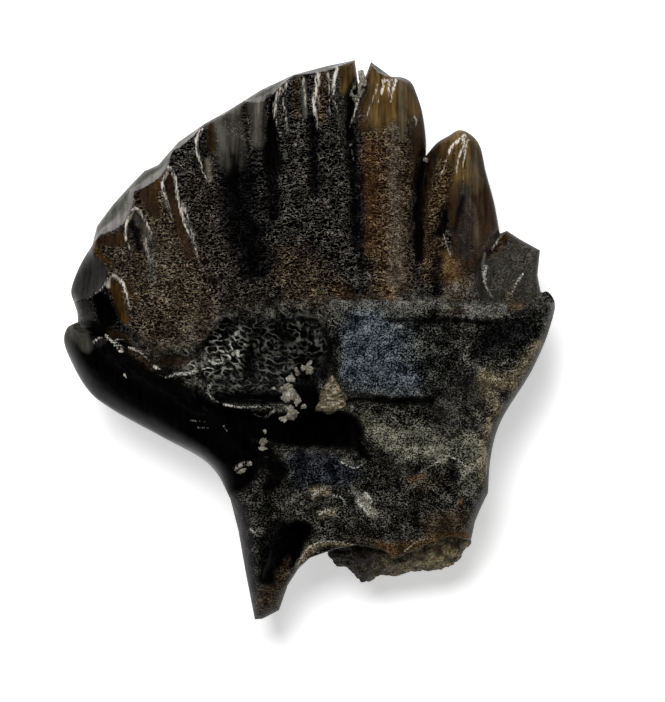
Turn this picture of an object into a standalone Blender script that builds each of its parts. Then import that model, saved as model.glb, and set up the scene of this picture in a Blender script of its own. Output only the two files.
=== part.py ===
"""A fossil tooth of the armoured dinosaur Edmontonia, lying on its back.

The crown points to +Y, the broken root to -Y and the side that is seen to +Z. The tooth is
16.8 mm long, and rests on three small flat spots at z = 0. Lengths below are in millimetres.
"""

import math

import bmesh
import bpy
import numpy as np

MM = 0.001  # one millimetre in metres

# The form is moulded finely, then brought down to facets no finer than it needs
AROUND = 480  # points round the outline
FRONT_RINGS = 120
BACK_RINGS = 40
TOOTH_FACETS = 0.048  # share of its facets that stays
HEART = (0.01, -1.8)  # every point of the outline can be seen from here

# Heights along the tooth, from the crown's tip to the foot of the root
FRONT_HEIGHTS = ((8.4, 4.5), (5.0, 4.95), (1.2, 5.65), (-1.0, 5.9), (-4.0, 5.75), (-6.5, 5.2))
BACK_HEIGHTS = ((8.4, 3.4), (5.0, 3.1), (1.2, 2.3), (-1.0, 2.0), (-4.0, 1.2), (-6.5, 0.8))
WAVER = 0.045  # how far the natural forms stray from their lines
SIDEWAYS_CURVE = 0.012  # how fast both sides fall away from the middle line
MIDDLE_X = 0.3

# The outline, clockwise from the low left denticle. Each stretch has its points, whether it is
# a smooth curve, the height of the rim, and the roundness of its edge in front and behind.
OUTLINE = {
    "left_denticle_foot": (((-6.94, 0.54), (-6.97, 0.84), (-7.06, 1.11)), False, 3.7, 0.7, 0.7),
    "left_denticle": (
        ((-7.06, 1.11), (-7.15, 1.53), (-6.88, 2.25), (-6.52, 2.85)),
        True, 3.7, 0.25, 0.6,
    ),
    "worn_margin": (
        (
            (-6.52, 2.85), (-6.38, 3.42), (-5.89, 4.08), (-5.26, 4.77), (-4.96, 5.07), (-4.54, 5.26),
            (-3.94, 5.94), (-3.17, 6.48), (-2.32, 6.96), (-1.45, 7.51), (-0.49, 7.96), (0.53, 8.23),
            (1.36, 8.4),
        ),
        False, 3.65, 0.15, 0.6,
    ),
    "first_cleft": (
        ((1.36, 8.4), (1.43, 7.92), (1.51, 7.26), (1.64, 7.8), (1.84, 8.34)),
        False, 3.8, 0.4, 0.4,
    ),
    "second_denticle": (
        (
            (1.84, 8.34), (2.44, 7.9), (2.71, 7.86), (3.01, 7.79), (3.19, 7.56), (3.4, 6.72),
            (3.49, 6), (3.49, 5.52),
        ),
        False, 4.0, 0.7, 0.6,
    ),
    "third_denticle": (
        (
            (3.49, 5.52), (3.82, 5.91), (4.16, 6.12), (4.51, 6.3), (4.88, 6.13),
            (5.13, 5.77), (5.29, 5.04), (5.54, 4.11), (5.71, 3.19),
        ),
        False, 4.0, 0.8, 0.6,
    ),
    "broken_denticle": (
        ((5.71, 3.19), (5.92, 3.28), (6.31, 3.03), (6.92, 2.69), (6.84, 1.95), (6.94, 1.41)),
        False, 3.7, 0.15, 0.5,
    ),
    "right_cingulum": (
        (
            (6.94, 1.41), (7.15, 1.44), (7.36, 1.05), (7.18, 0.3), (6.94, -0.33), (6.55, -1.11),
            (5.75, -2.4), (5.44, -3.45), (5.35, -4.59),
        ),
        True, 3.4, 1.5, 1.6,
    ),
    "right_root_edge": (
        ((5.35, -4.59), (5.12, -5.07), (4.96, -5.46), (4.84, -6.03)),
        False, 3.1, 1.0, 1.2,
    ),
    "broken_rim": (
        (
            (4.84, -6.03), (4.25, -5.88), (3.65, -6.06), (3.04, -6.36), (2.56, -6.51),
            (2.11, -6.27), (1.43, -6.15), (0.77, -6.27), (0.01, -6.54), (-0.34, -6.87),
        ),
        False, 3.0, 0.25, 0.3,
    ),
    "spike": (
        (
            (-0.34, -6.87), (-0.65, -7.35), (-0.91, -8.1), (-1.4, -8.36), (-1.64, -8.38),
            (-1.91, -6.99), (-2.13, -5.73), (-2.38, -4.74),
        ),
        False, 2.9, 0.7, 0.8,
    ),
    "left_cingulum": (
        (
            (-2.38, -4.74), (-2.75, -4.02), (-3.28, -3.51), (-4.3, -2.96), (-5.87, -2.1),
            (-6.67, -1.44), (-7.3, -0.24), (-7.27, 0.33), (-6.94, 0.54),
        ),
        True, 3.3, 2.0, 2.1,
    ),
}

# Planes worn along the upper left margin of the crown, each from one groove to the next
WEAR_FACETS = (
    ((-6.52, 2.88), (-5.26, 4.77), 1.5),
    ((-5.26, 4.77), (-4.04, 5.88), 1.5),
    ((-4.16, 5.76), (-3.1, 6.54), 1.5),
    ((-3.1, 6.51), (-1.43, 7.54), 1.5),
    ((-1.43, 7.53), (-0.34, 8.03), 1.5),
    ((-0.4, 8.01), (1.36, 8.43), 1.7),
)
WORN_EDGE = 3.8  # height of the outer edge of those planes
LOW_FACET = ((-7.15, 1.29), (-6.52, 2.88))  # the plane worn on the low left denticle, down to its foot
LOW_FACET_SLOPE = 1.1
LOW_FACET_FOOT = 0.6
BROKEN_LEFT = ((5.71, 3.21), (5.21, 1.26))  # left edge of the broken face of the fourth denticle
BROKEN_FOOT = ((5.05, 1.26), (7.15, 1.32))
BROKEN_HEIGHT = 4.2
BROKEN_WALL = 4.0  # slope of the walls round it

# Raised forms of the front: a line, its half width and its height, at its start and its end
RIDGES = {
    "first_denticle": (((0.97, 8.04), (1.06, 5.7), (1.09, 1.8)), (0.42, 0.48), (0.16, 0.05)),
    "second_denticle": (((2.59, 7.44), (2.5, 4.5), (2.35, 1.65)), (0.96, 1.02), (0.42, 0.12)),
    "third_denticle": (((4.51, 6), (4.51, 4.5), (4.27, 1.65)), (0.9, 1.02), (0.5, 0.12)),
    "low_left_denticle": (((-6.4, 1.74), (-6.04, 0.84)), (0.72, 0.66), (0.35, 0.3)),
    "left_cingulum": (
        ((-6.64, -0.36), (-5.38, -1.32), (-3.88, -2.22), (-2.53, -3.45)),
        (1.2, 1.08), (1.0, 0.6),
    ),
    "crown_foot_lobe": (((-4.33, 0.66), (-3.28, -0.15)), (1.02, 1.14), (0.3, 0.35)),
    "pit_lip": (((-3.28, -1.44), (-2.5, -1.92), (-0.91, -2.1)), (0.39, 0.33), (0.35, 0.3)),
    "right_cingulum": (((6.79, 0.84), (6.46, -0.3), (5.65, -1.65)), (0.9, 1.02), (0.35, 0.2)),
    "root_wall": (((-1.03, -3.9), (-1.43, -6), (-1.43, -7.8)), (1.02, 0.66), (0.25, 0.15)),
}

# Grooves of the front with crisp shoulders: a line, its half width and its depth
GROOVES = {
    "arch_a": (((-5.23, 3.57), (-5.05, 2.85), (-4.84, 2.1), (-4.6, 1.26)), (0.39, 0.27), (0.42, 0.15)),
    "arch_b": (((-4.21, 4.83), (-4.04, 3.96), (-3.85, 3.36), (-3.52, 2.52)), (0.27, 0.21), (0.38, 0.1)),
    "arch_c": (((-3.07, 6.18), (-3.1, 5.64), (-2.98, 4.95), (-2.77, 4.05)), (0.24, 0.21), (0.32, 0.08)),
    "flute_d": (((-1.91, 7.02), (-1.91, 5.7), (-1.81, 4.35)), (0.3, 0.27), (0.28, 0.05)),
    "flute_e": (((-1.19, 7.44), (-1.19, 5.7), (-1.09, 4.5)), (0.27, 0.24), (0.25, 0.05)),
    "flute_f": (((-0.4, 7.86), (-0.4, 6.3)), (0.21, 0.18), (0.18, 0.03)),
    "flute_g": (((0.04, 7.95), (0.04, 6.3)), (0.21, 0.18), (0.18, 0.03)),
    "flute_h": (((0.49, 8.07), (0.53, 6.3)), (0.18, 0.18), (0.18, 0.03)),
    "first_cleft": (((1.51, 7.38), (1.43, 5.7), (1.51, 1.26)), (0.33, 0.3), (0.55, 0.12)),
    "second_cleft": (((3.49, 5.7), (3.34, 4.2), (3.25, 1.26)), (0.45, 0.36), (0.8, 0.2)),
    "third_cleft": (((5.71, 3.12), (5.42, 2.34), (5.12, 1.44)), (0.3, 0.27), (0.4, 0.15)),
    "third_denticle_hollow": (((4.88, 4.65), (4.88, 3.15)), (0.6, 0.54), (0.16, 0.12)),
    "behind_left_denticle": (((-6.29, 2.34), (-5.87, 1.62), (-5.56, 0.66)), (0.27, 0.27), (0.4, 0.35)),
    "above_cingulum": (
        ((-6.94, 0.51), (-5.92, 0.18), (-4.79, -0.48), (-3.28, -1.38)),
        (0.27, 0.36), (0.45, 0.35),
    ),
    "pit": (((-2.32, -0.3), (-1.43, -0.48), (-0.53, -0.36)), (1.08, 1.26), (0.55, 0.75)),
    "pit_hole": (((0.2, -1.14), (0.07, -2.76)), (0.81, 0.78), (0.9, 0.8)),
    "black_hollow": (((-1.43, -2.76), (0.61, -2.76)), (0.54, 0.66), (0.3, 0.35)),
    "root_hollow": (((-0.55, -5.82), (-0.38, -7.14)), (0.39, 0.39), (0.5, 1.1)),
}

# Ledges of the front: the surface falls on the right of the line, then comes back over a reach
LEDGE_WALL = 0.13  # how wide the fall itself is
LEDGE_ENDS = 0.15  # share of the line over which it fades in and out
LEDGES = {
    "crown_foot": (((7.3, 1.11), (5.71, 1.08), (3.61, 0.99), (0.32, 1.14)), (0.6, 0.2), 1.14),
    "upper_panel": (((4.16, -1.5), (3.61, -1.62), (0.73, -1.74), (0.26, -1.68)), (0.35, 0.3), 1.5),
    "lower_panel": (((2.65, -3.9), (1.88, -3.15), (1.12, -2.04)), (0.25, 0.15), 1.2),
    "root_panel": (((4.18, -3.45), (3.04, -4.05), (1.21, -4.32)), (0.25, 0.15), 1.2),
}

# Raised forms of the back, the same way, and the spots that it rests on
BACK_RIDGES = {
    "cingulum": (
        ((-6.13, -0.15), (-3.28, 0.45), (0.91, 0.66), (5.12, 1.05), (6.31, 0.9)),
        (2.3, 2.2), (1.7, 1.7),
    ),
    "left_rest": (((-4.33, 0.78), (-2.69, 0.9)), (1.8, 1.8), (1.35, 1.35)),
    "right_rest": (((3.46, 1.26), (4.81, 1.32)), (1.8, 1.8), (1.35, 1.35)),
    "root_rest": (((0.91, -4.14), (2.27, -4.8)), (1.9, 1.8), (1.55, 1.55)),
    "second_denticle": (((2.62, 7.35), (2.48, 4.2)), (0.84, 0.9), (0.2, 0.1)),
    "third_denticle": (((4.51, 5.7), (4.37, 3.6)), (0.84, 0.9), (0.2, 0.1)),
}
BACK_GROOVES = {
    "first_cleft": (((1.51, 7.38), (1.45, 5.7), (1.51, 3.3)), (0.36, 0.27), (0.5, 0.05)),
    "second_cleft": (((3.49, 5.7), (3.38, 4.5), (3.28, 3)), (0.39, 0.27), (0.5, 0.05)),
    "flute_a": (((-5.08, 4.05), (-4.48, 2.1)), (0.36, 0.27), (0.15, 0.05)),
    "flute_b": (((-3.58, 5.7), (-3.13, 3)), (0.36, 0.27), (0.15, 0.05)),
    "flute_c": (((-2.08, 6.66), (-1.84, 3.6)), (0.36, 0.27), (0.15, 0.05)),
    "flute_d": (((-0.73, 7.44), (-0.65, 3.9)), (0.36, 0.27), (0.15, 0.05)),
    "flute_e": (((0.46, 7.8), (0.53, 4.2)), (0.36, 0.27), (0.15, 0.05)),
}

# Sediment that fills the hollow of the root, and the crumb of it in the pit
FILL_CENTRE = (2.6, -5.85, 2.9)
FILL_RADII = (2.2, 1.15, 1.2)
FILL_LUMPS = (
    ((1.54, -7.23), 0.42, 0.5), ((2.23, -6.96), 0.12, 0.35), ((3.13, -6.84), 0.1, 0.4),
    ((4.27, -6.6), 0.2, 0.4), ((0.77, -6.51), 0.12, 0.3),
)
CRUMB_CENTRE = (0.68, -1.72, 5.1)
CRUMB_RADII = (0.62, 0.62, 0.42)
CRUMB_LEAN = 0.55  # how much narrower its upper end is
GAP = 0.05  # between the sediment and the tooth

TOOTH_COLOUR = (0.030, 0.023, 0.017, 1)
FILL_COLOUR = (0.105, 0.085, 0.045, 1)
CRUMB_COLOUR = (0.42, 0.36, 0.27, 1)


def rounded(points, steps=6):
    """Points along a Catmull-Rom curve through the given ones."""
    ends = [points[0], *points, points[-1]]
    curve = []
    for a, b, c, d in zip(ends, ends[1:], ends[2:], ends[3:]):
        a, b, c, d = (np.array(p) for p in (a, b, c, d))
        for u in np.arange(steps) / steps:
            bend = (2 * a - 5 * b + 4 * c - d) * u**2 + (3 * b - a - 3 * c + d) * u**3
            curve.append(b + 0.5 * ((c - a) * u + bend))
    return np.array([*curve, points[-1]])


def outline():
    """AROUND points round the tooth, with every corner kept, and the rim values at each one."""
    pieces, values = [], []
    for points, smooth, *rim in OUTLINE.values():
        runs = [rounded(points)] if smooth else [np.array(pair) for pair in zip(points, points[1:])]
        pieces.extend(runs)
        values.extend([rim] * len(runs))
    marks = [np.concatenate([[0], np.cumsum(np.hypot(*np.diff(piece, axis=0).T))]) for piece in pieces]
    lengths = np.array([mark[-1] for mark in marks])
    shares = np.maximum(1, np.floor(lengths / lengths.sum() * AROUND)).astype(int)
    while shares.sum() < AROUND:
        shares[np.argmax(lengths / shares)] += 1
    while shares.sum() > AROUND:
        shares[np.argmin(np.where(shares > 1, lengths / shares, np.inf))] -= 1
    points, rims = [], []
    for piece, mark, share, value in zip(pieces, marks, shares, values):
        at = np.arange(share) / share * mark[-1]
        points.extend(zip(*(np.interp(at, mark, axis) for axis in piece.T)))
        rims.extend([value] * share)
    rims = np.array(rims)
    rims = (np.roll(rims, 1, axis=0) + 2 * rims + np.roll(rims, -1, axis=0)) / 4
    return np.array(points), rims


def follow(x, y, path):
    """Distance from a path, share of its length at the nearest point, and side (1 is its left)."""
    path = np.array(path)
    runs = np.diff(path, axis=0)
    lengths = np.hypot(*runs.T)
    starts = np.concatenate([[0], np.cumsum(lengths)])
    distance = np.full_like(x, np.inf)
    share = np.zeros_like(x)
    side = np.ones_like(x)
    for (px, py), (dx, dy), length, start in zip(path, runs, lengths, starts):
        u = np.clip(((x - px) * dx + (y - py) * dy) / length**2, 0, 1)
        ex = x - px - u * dx
        ey = y - py - u * dy
        near = np.hypot(ex, ey) < distance
        distance = np.where(near, np.hypot(ex, ey), distance)
        share = np.where(near, (start + u * length) / starts[-1], share)
        side = np.where(near, np.sign(dx * ey - dy * ex), side)
    return distance, share, side


def between(ends, share):
    return ends[0] + (ends[1] - ends[0]) * share


def ridge(x, y, path, half_width, height):
    """A soft swelling along a path."""
    distance, share, _ = follow(x, y, path)
    across = np.clip(distance / between(half_width, share), 0, 1)
    return between(height, share) * (1 - across**2) ** 2


def groove(x, y, path, half_width, depth):
    """A scooped channel along a path, with crisp shoulders."""
    distance, share, _ = follow(x, y, path)
    across = np.clip(distance / between(half_width, share), 0, 1)
    return between(depth, share) * (1 - across**2)


def ledge(x, y, path, drop, reach):
    """A steep fall on the right of a path, which comes back to nothing over its reach."""
    distance, share, side = follow(x, y, path)
    fall = np.minimum(distance / LEDGE_WALL, 1) * np.clip(1 - (distance - LEDGE_WALL) / reach, 0, 1)
    ends = np.clip(np.minimum(share, 1 - share) / LEDGE_ENDS, 0, 1)
    return np.where(side < 0, between(drop, share) * fall * ends, 0)


def beyond(x, y, start, end):
    """Signed distance from a line, positive on its right."""
    dx, dy = end[0] - start[0], end[1] - start[1]
    return ((x - start[0]) * -dy + (y - start[1]) * dx) / -math.hypot(dx, dy)


def body(x, y, heights, sense):
    """The plain curved side of the tooth: sense is 1 in front and -1 behind."""
    ys, zs = zip(*reversed(heights))
    return np.interp(y, ys, zs) - sense * SIDEWAYS_CURVE * (x - MIDDLE_X) ** 2


def waver(x, y):
    """The same place, moved a little, so that no form runs quite straight."""
    return (
        x + WAVER * (np.sin(2.1 * y + 0.8) + 0.6 * np.sin(4.3 * y + 1.9 * x)),
        y + WAVER * (np.sin(2.4 * x + 2.2) + 0.6 * np.sin(4.1 * x - 1.7 * y)),
    )


def front(x, y):
    z = body(x, y, FRONT_HEIGHTS, 1)
    margin = x, y
    x, y = waver(x, y)
    for form in RIDGES.values():
        z += ridge(x, y, *form)
    for form in LEDGES.values():
        z -= ledge(x, y, *form)
    for form in GROOVES.values():
        z -= groove(x, y, *form)
    x, y = margin
    low_facet = WORN_EDGE + LOW_FACET_SLOPE * beyond(x, y, *LOW_FACET)
    z = np.where(y > LOW_FACET_FOOT, np.minimum(z, low_facet), z)
    for start, end, slope in WEAR_FACETS:
        z = np.minimum(z, WORN_EDGE + slope * beyond(x, y, start, end))
    outside = np.maximum(beyond(x, y, *BROKEN_LEFT), beyond(x, y, *BROKEN_FOOT))
    return np.minimum(z, BROKEN_HEIGHT + BROKEN_WALL * np.maximum(outside, 0))


def back(x, y):
    z = body(x, y, BACK_HEIGHTS, -1)
    for form in BACK_RIDGES.values():
        z -= ridge(x, y, *form)
    for form in BACK_GROOVES.values():
        z += groove(x, y, *form)
    return z


def edge(distance, radius):
    """Rounded share of the full height at a distance in from the rim."""
    u = np.clip(distance / radius, 0, 1)
    return np.sqrt(1 - (1 - u) ** 2)


def tooth_mesh():
    """A sphere moulded to the outline and to the heights of both sides."""
    rim_points, rims = outline()
    rings = FRONT_RINGS + BACK_RINGS
    bm = bmesh.new()
    bmesh.ops.create_uvsphere(bm, u_segments=AROUND, v_segments=rings, radius=1)
    ball = np.array([v.co for v in bm.verts])
    column = np.round(-np.arctan2(ball[:, 1], ball[:, 0]) / (2 * math.pi) * AROUND).astype(int) % AROUND
    ring = np.round(np.arccos(np.clip(ball[:, 2], -1, 1)) / math.pi * rings)
    in_front = ring <= FRONT_RINGS
    turn = np.where(in_front, ring / FRONT_RINGS, (rings - ring) / BACK_RINGS)
    out = np.sin(turn * math.pi / 2)
    x = HEART[0] + out * (rim_points[column, 0] - HEART[0])
    y = HEART[1] + out * (rim_points[column, 1] - HEART[1])

    closed = np.vstack([rim_points, rim_points[:1]])
    distance, share, _ = follow(x, y, closed)
    distance = np.where(ring == FRONT_RINGS, 0, distance)
    where = np.concatenate([[0], np.cumsum(np.hypot(*np.diff(closed, axis=0).T))])
    rim, front_round, back_round = (
        np.interp(share * where[-1], where, np.append(values, values[0])) for values in rims.T
    )
    high = rim + (front(x, y) - rim) * edge(distance, front_round)
    low = rim + (back(x, y) - rim) * edge(distance, back_round)
    z = np.maximum(np.where(in_front, high, low), 0)
    for vert, *place in zip(bm.verts, x, y, z):
        vert.co = [value * MM for value in place]
    return bm


def fill_mesh(swell=0):
    """Lumpy sediment in the root. With swell it is the hollow that holds it."""
    bm = bmesh.new()
    bmesh.ops.create_uvsphere(bm, u_segments=28, v_segments=14, radius=1)
    for vert in bm.verts:
        x, y, z = (c + r * p for c, r, p in zip(FILL_CENTRE, FILL_RADII, vert.co))
        for (lump_x, lump_y), height, reach in FILL_LUMPS:
            near = math.exp(-(((x - lump_x) / reach) ** 2) - ((y - lump_y) / (2 * reach)) ** 2)
            y -= height * near
            z += 0.3 * height * near * math.sin(9 * x)
        vert.co = [value * MM for value in (x, y, z)]
    grow(bm, swell)
    return bm


def crumb_mesh(swell=0):
    """A three-cornered crumb of pale sediment."""
    bm = bmesh.new()
    bmesh.ops.create_icosphere(bm, subdivisions=2, radius=1)
    for vert in bm.verts:
        x, y, z = vert.co
        x *= 1 - CRUMB_LEAN * (y + 0.3)
        z *= 1 - 0.18 * math.sin(5 * x + 2) * math.cos(4 * y)
        vert.co = [(c + r * p) * MM for c, r, p in zip(CRUMB_CENTRE, CRUMB_RADII, (x, y, z))]
    grow(bm, swell)
    return bm


def grow(bm, distance):
    """Move every point out along its normal."""
    bm.normal_update()
    for vert, normal in [(v, v.normal.copy()) for v in bm.verts]:
        vert.co += normal * distance * MM


def material(name, colour, roughness):
    made = bpy.data.materials.new(name)
    made.use_nodes = True
    shader = made.node_tree.nodes["Principled BSDF"]
    shader.inputs["Base Color"].default_value = colour
    shader.inputs["Roughness"].default_value = roughness
    shader.inputs["Metallic"].default_value = 0
    made.diffuse_color = colour
    return made


def add(name, bm, collection, finish=None):
    """An object of a finished mesh."""
    mesh = bpy.data.meshes.new(name)
    bm.to_mesh(mesh)
    bm.free()
    mesh.shade_smooth()
    mesh.set_sharp_from_angle(angle=math.radians(50))
    made = bpy.data.objects.new(name, mesh)
    collection.objects.link(made)
    if finish:
        mesh.materials.append(finish)
    return made


def simplify(thing, share):
    fewer = thing.modifiers.new("facets", "DECIMATE")
    fewer.decimate_type = "COLLAPSE"
    fewer.ratio = share
    fewer.use_collapse_triangulate = True


def hollow(thing, cutter):
    """Cut the bed of a piece of sediment out of the tooth."""
    cutter.hide_render = True
    cutter.display_type = "WIRE"
    cut = thing.modifiers.new(cutter.name, "BOOLEAN")
    cut.operation = "DIFFERENCE"
    cut.solver = "EXACT"
    cut.object = cutter


def clear_scene():
    for thing in list(bpy.data.objects):
        bpy.data.objects.remove(thing, do_unlink=True)


def collection(name):
    made = bpy.data.collections.new(name)
    bpy.context.scene.collection.children.link(made)
    return made


def build():
    clear_scene()
    parts = collection("edmontonia_tooth")
    cutters = collection("cutters")
    tooth = add("tooth", tooth_mesh(), parts, material("polished_fossil", TOOTH_COLOUR, 0.35))
    simplify(tooth, TOOTH_FACETS)
    add("root_sediment", fill_mesh(), parts, material("root_sediment", FILL_COLOUR, 0.9))
    add("pit_sediment", crumb_mesh(), parts, material("pit_sediment", CRUMB_COLOUR, 0.95))
    hollow(tooth, add("root_hollow", fill_mesh(GAP), cutters))
    hollow(tooth, add("crumb_bed", crumb_mesh(GAP), cutters))


build()
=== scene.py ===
import math

import bmesh
import bpy
import numpy as np
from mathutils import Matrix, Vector, noise


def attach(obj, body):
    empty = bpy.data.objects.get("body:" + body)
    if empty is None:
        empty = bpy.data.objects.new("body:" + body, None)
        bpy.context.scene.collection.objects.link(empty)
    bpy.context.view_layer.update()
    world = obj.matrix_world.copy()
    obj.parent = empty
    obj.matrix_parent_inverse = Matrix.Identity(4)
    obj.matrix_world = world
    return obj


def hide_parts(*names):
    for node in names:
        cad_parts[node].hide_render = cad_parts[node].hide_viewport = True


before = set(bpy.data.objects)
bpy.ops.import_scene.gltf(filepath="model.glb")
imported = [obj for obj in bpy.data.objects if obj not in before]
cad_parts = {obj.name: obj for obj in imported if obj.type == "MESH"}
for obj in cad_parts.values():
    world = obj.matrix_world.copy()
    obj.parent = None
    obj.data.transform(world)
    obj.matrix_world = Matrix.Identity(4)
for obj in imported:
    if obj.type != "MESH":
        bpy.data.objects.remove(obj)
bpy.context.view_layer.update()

# The studio: a white light table seen from straight above, as the tooth lies on its back. A soft
# light overhead is polarised, so that it gives no shine, and two small low ones draw the glints on
# the edges that face them. The polished blacks stay black.
MM = 0.001
PHOTO_ROWS = 702
PHOTO_SCALE = 0.03 * MM  # one pixel of the photograph
PHOTO_MIDDLE = (0.69 * MM, -0.33 * MM)  # the spot that the lens stands over
LENS_HEIGHT = 420 * MM
SHOWN_HEIGHT = 3.7 * MM  # the level that the photograph's scale holds for
FILM_HEIGHT = 24


def aim(thing, place, target):
    """Put a lamp or the camera somewhere, facing a target."""
    thing.location = place
    thing.rotation_euler = (Vector(target) - Vector(place)).to_track_quat("-Z", "Y").to_euler()
    bpy.context.scene.collection.objects.link(thing)


lens = bpy.data.cameras.new("photo_camera")
lens.sensor_fit = "VERTICAL"
lens.sensor_height = FILM_HEIGHT
lens.lens = FILM_HEIGHT * (LENS_HEIGHT - SHOWN_HEIGHT) / (PHOTO_ROWS * PHOTO_SCALE)
lens.clip_start = 0.01
camera = bpy.data.objects.new("photo_camera", lens)
aim(camera, (*PHOTO_MIDDLE, LENS_HEIGHT), (*PHOTO_MIDDLE, 0))
bpy.context.scene.camera = camera

# Each lamp: compass bearing from the tooth and height angle in degrees, size across and up in
# metres, power in watts, and whether it shows as a shine
LAMPS = {
    "soft_light": (-24, 76, 0.09, 0.07, 0.68, False),
    "far_light": (-12, 38, 0.07, 0.03, 0.25, True),
    "left_light": (-75, 32, 0.05, 0.03, 0.05, True),
}
LAMP_DISTANCE = 0.30
for name, (bearing, rise, across, up, watts, shines) in LAMPS.items():
    light = bpy.data.lights.new(name, "AREA")
    light.shape = "RECTANGLE"
    light.size = across
    light.size_y = up
    light.energy = watts
    turn, rise = math.radians(bearing), math.radians(rise)
    flat = math.cos(rise) * LAMP_DISTANCE
    place = (math.sin(turn) * flat, math.cos(turn) * flat, math.sin(rise) * LAMP_DISTANCE)
    lamp = bpy.data.objects.new(name, light)
    lamp.visible_glossy = shines
    aim(lamp, place, (0, 0, 0))

# A white tent stands round the table, open to the dark above it
TENT_RIM = (0.4, 0.55)  # sines of the heights between which it ends
TENT_LIGHT = (0.5, 0.01)  # of the tent, and of the dark above it
world = bpy.data.worlds.new("studio")
world.use_nodes = True
sky = world.node_tree
height = sky.nodes.new("ShaderNodeSeparateXYZ")
fade = sky.nodes.new("ShaderNodeMapRange")
sky.links.new(sky.nodes.new("ShaderNodeTexCoord").outputs["Generated"], height.inputs[0])
sky.links.new(height.outputs["Z"], fade.inputs["Value"])
limits = ("From Min", "From Max", "To Min", "To Max")
for socket, value in zip(limits, (*TENT_RIM, *TENT_LIGHT)):
    fade.inputs[socket].default_value = value
sky.links.new(fade.outputs[0], sky.nodes["Background"].inputs["Strength"])
sky.nodes["Background"].inputs["Color"].default_value = (1, 1, 1, 1)
bpy.context.scene.world = world
bpy.context.scene.view_settings.view_transform = "Standard"


class Value:
    """A number in a shader: sums with it add their Math nodes."""

    def __init__(self, finish, socket):
        self.finish = finish
        self.socket = socket

    def math(self, operation, first, second=0.0):
        return self.finish.node("Math", {"operation": operation}, {0: first, 1: second})

    def __add__(self, other):
        return self.math("ADD", self, other)

    def __sub__(self, other):
        return self.math("SUBTRACT", self, other)

    def __rsub__(self, other):
        return self.math("SUBTRACT", other, self)

    def __mul__(self, other):
        return self.math("MULTIPLY", self, other)

    def __abs__(self):
        return self.math("ABSOLUTE", self)

    __radd__ = __add__
    __rmul__ = __mul__

    def within(self, low, high):
        """0 below low, 1 above high, and soft between."""
        sockets = {"Value": self, "From Min": low, "From Max": high}
        return self.finish.node("MapRange", {"interpolation_type": "SMOOTHSTEP"}, sockets)


class Finish:
    """The nodes of one material."""

    def __init__(self, name, **constants):
        self.material = bpy.data.materials.new(name)
        self.material.use_nodes = True
        self.tree = self.material.node_tree
        self.shader = self.tree.nodes["Principled BSDF"]
        for socket, value in constants.items():
            self.shader.inputs[socket.replace("_", " ")].default_value = value

    def node(self, kind, settings, sockets, output=0):
        made = self.tree.nodes.new("ShaderNode" + kind)
        for key, value in settings.items():
            setattr(made, key, value)
        for key, value in sockets.items():
            self.put(made.inputs[key], value)
        return Value(self, made.outputs[output])

    def put(self, socket, value):
        if isinstance(value, Value):
            self.tree.links.new(value.socket, socket)
        else:
            socket.default_value = value

    def mix(self, share, first, second):
        """A colour between two, by a share."""
        sockets = {0: share, 6: first, 7: second}
        return self.node("Mix", {"data_type": "RGBA"}, sockets, 2)

    def scaled(self, colour, by):
        """A colour made lighter or darker."""
        return self.node("VectorMath", {"operation": "SCALE"}, {0: colour, "Scale": by})

    def attribute(self, name, output="Fac"):
        return self.node("Attribute", {"attribute_name": name}, {}, output)

    def place(self, across, along, through):
        """Object coordinates, counted in grains of the given sizes in metres."""
        here = self.node("TexCoord", {}, {}, "Object")
        counts = (1 / across, 1 / along, 1 / through)
        return self.node("Mapping", {}, {"Vector": here, "Scale": counts})

    def cells(self, size):
        """The same, for grains as long as they are wide."""
        return self.place(size, size, size)

    def grains(self, vector, detail=2.0, roughness=0.55, distortion=0.0):
        """Noise of one grain to each count of the vector."""
        sockets = {
            "Vector": vector, "Scale": 1.0,
            "Detail": detail, "Roughness": roughness, "Distortion": distortion,
        }
        return self.node("TexNoise", {}, sockets)

    def dress(self, thing, colour, roughness, height=None, depth=0.0):
        """Wire the finish up, and put it on a thing."""
        self.put(self.shader.inputs["Base Color"], colour)
        self.put(self.shader.inputs["Roughness"], roughness)
        if height:
            bump = self.node("Bump", {}, {"Height": height, "Distance": depth}, "Normal")
            self.put(self.shader.inputs["Normal"], bump)
        thing.data.materials.append(self.material)


def add_mesh(name, bm):
    """Make a finished piece of a bmesh."""
    mesh = bpy.data.meshes.new(name)
    bm.to_mesh(mesh)
    bm.free()
    mesh.shade_smooth()
    made = bpy.data.objects.new(name, mesh)
    bpy.context.scene.collection.objects.link(made)
    return made


TABLE_REACH = 0.6
TABLE_GLOW = 0.5
PAPER_TONE = 0.94
PAPER_CLOUDS = 0.01  # how much its tone varies
PAPER_CLOUD_SIZE = 4 * MM
PAPER_ROUGHNESS = 0.9
bm = bmesh.new()
bmesh.ops.create_grid(bm, x_segments=1, y_segments=1, size=TABLE_REACH)
table = add_mesh("table", bm)
paper = Finish("white_paper", Specular_IOR_Level=0.1, Emission_Strength=TABLE_GLOW)
paper.shader.inputs["Emission Color"].default_value = (1, 1, 1, 1)
shade = paper.grains(paper.cells(PAPER_CLOUD_SIZE)) * PAPER_CLOUDS + PAPER_TONE
white = paper.node("CombineColor", {}, {0: shade, 1: shade, 2: shade})
paper.dress(table, white, PAPER_ROUGHNESS)

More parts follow.
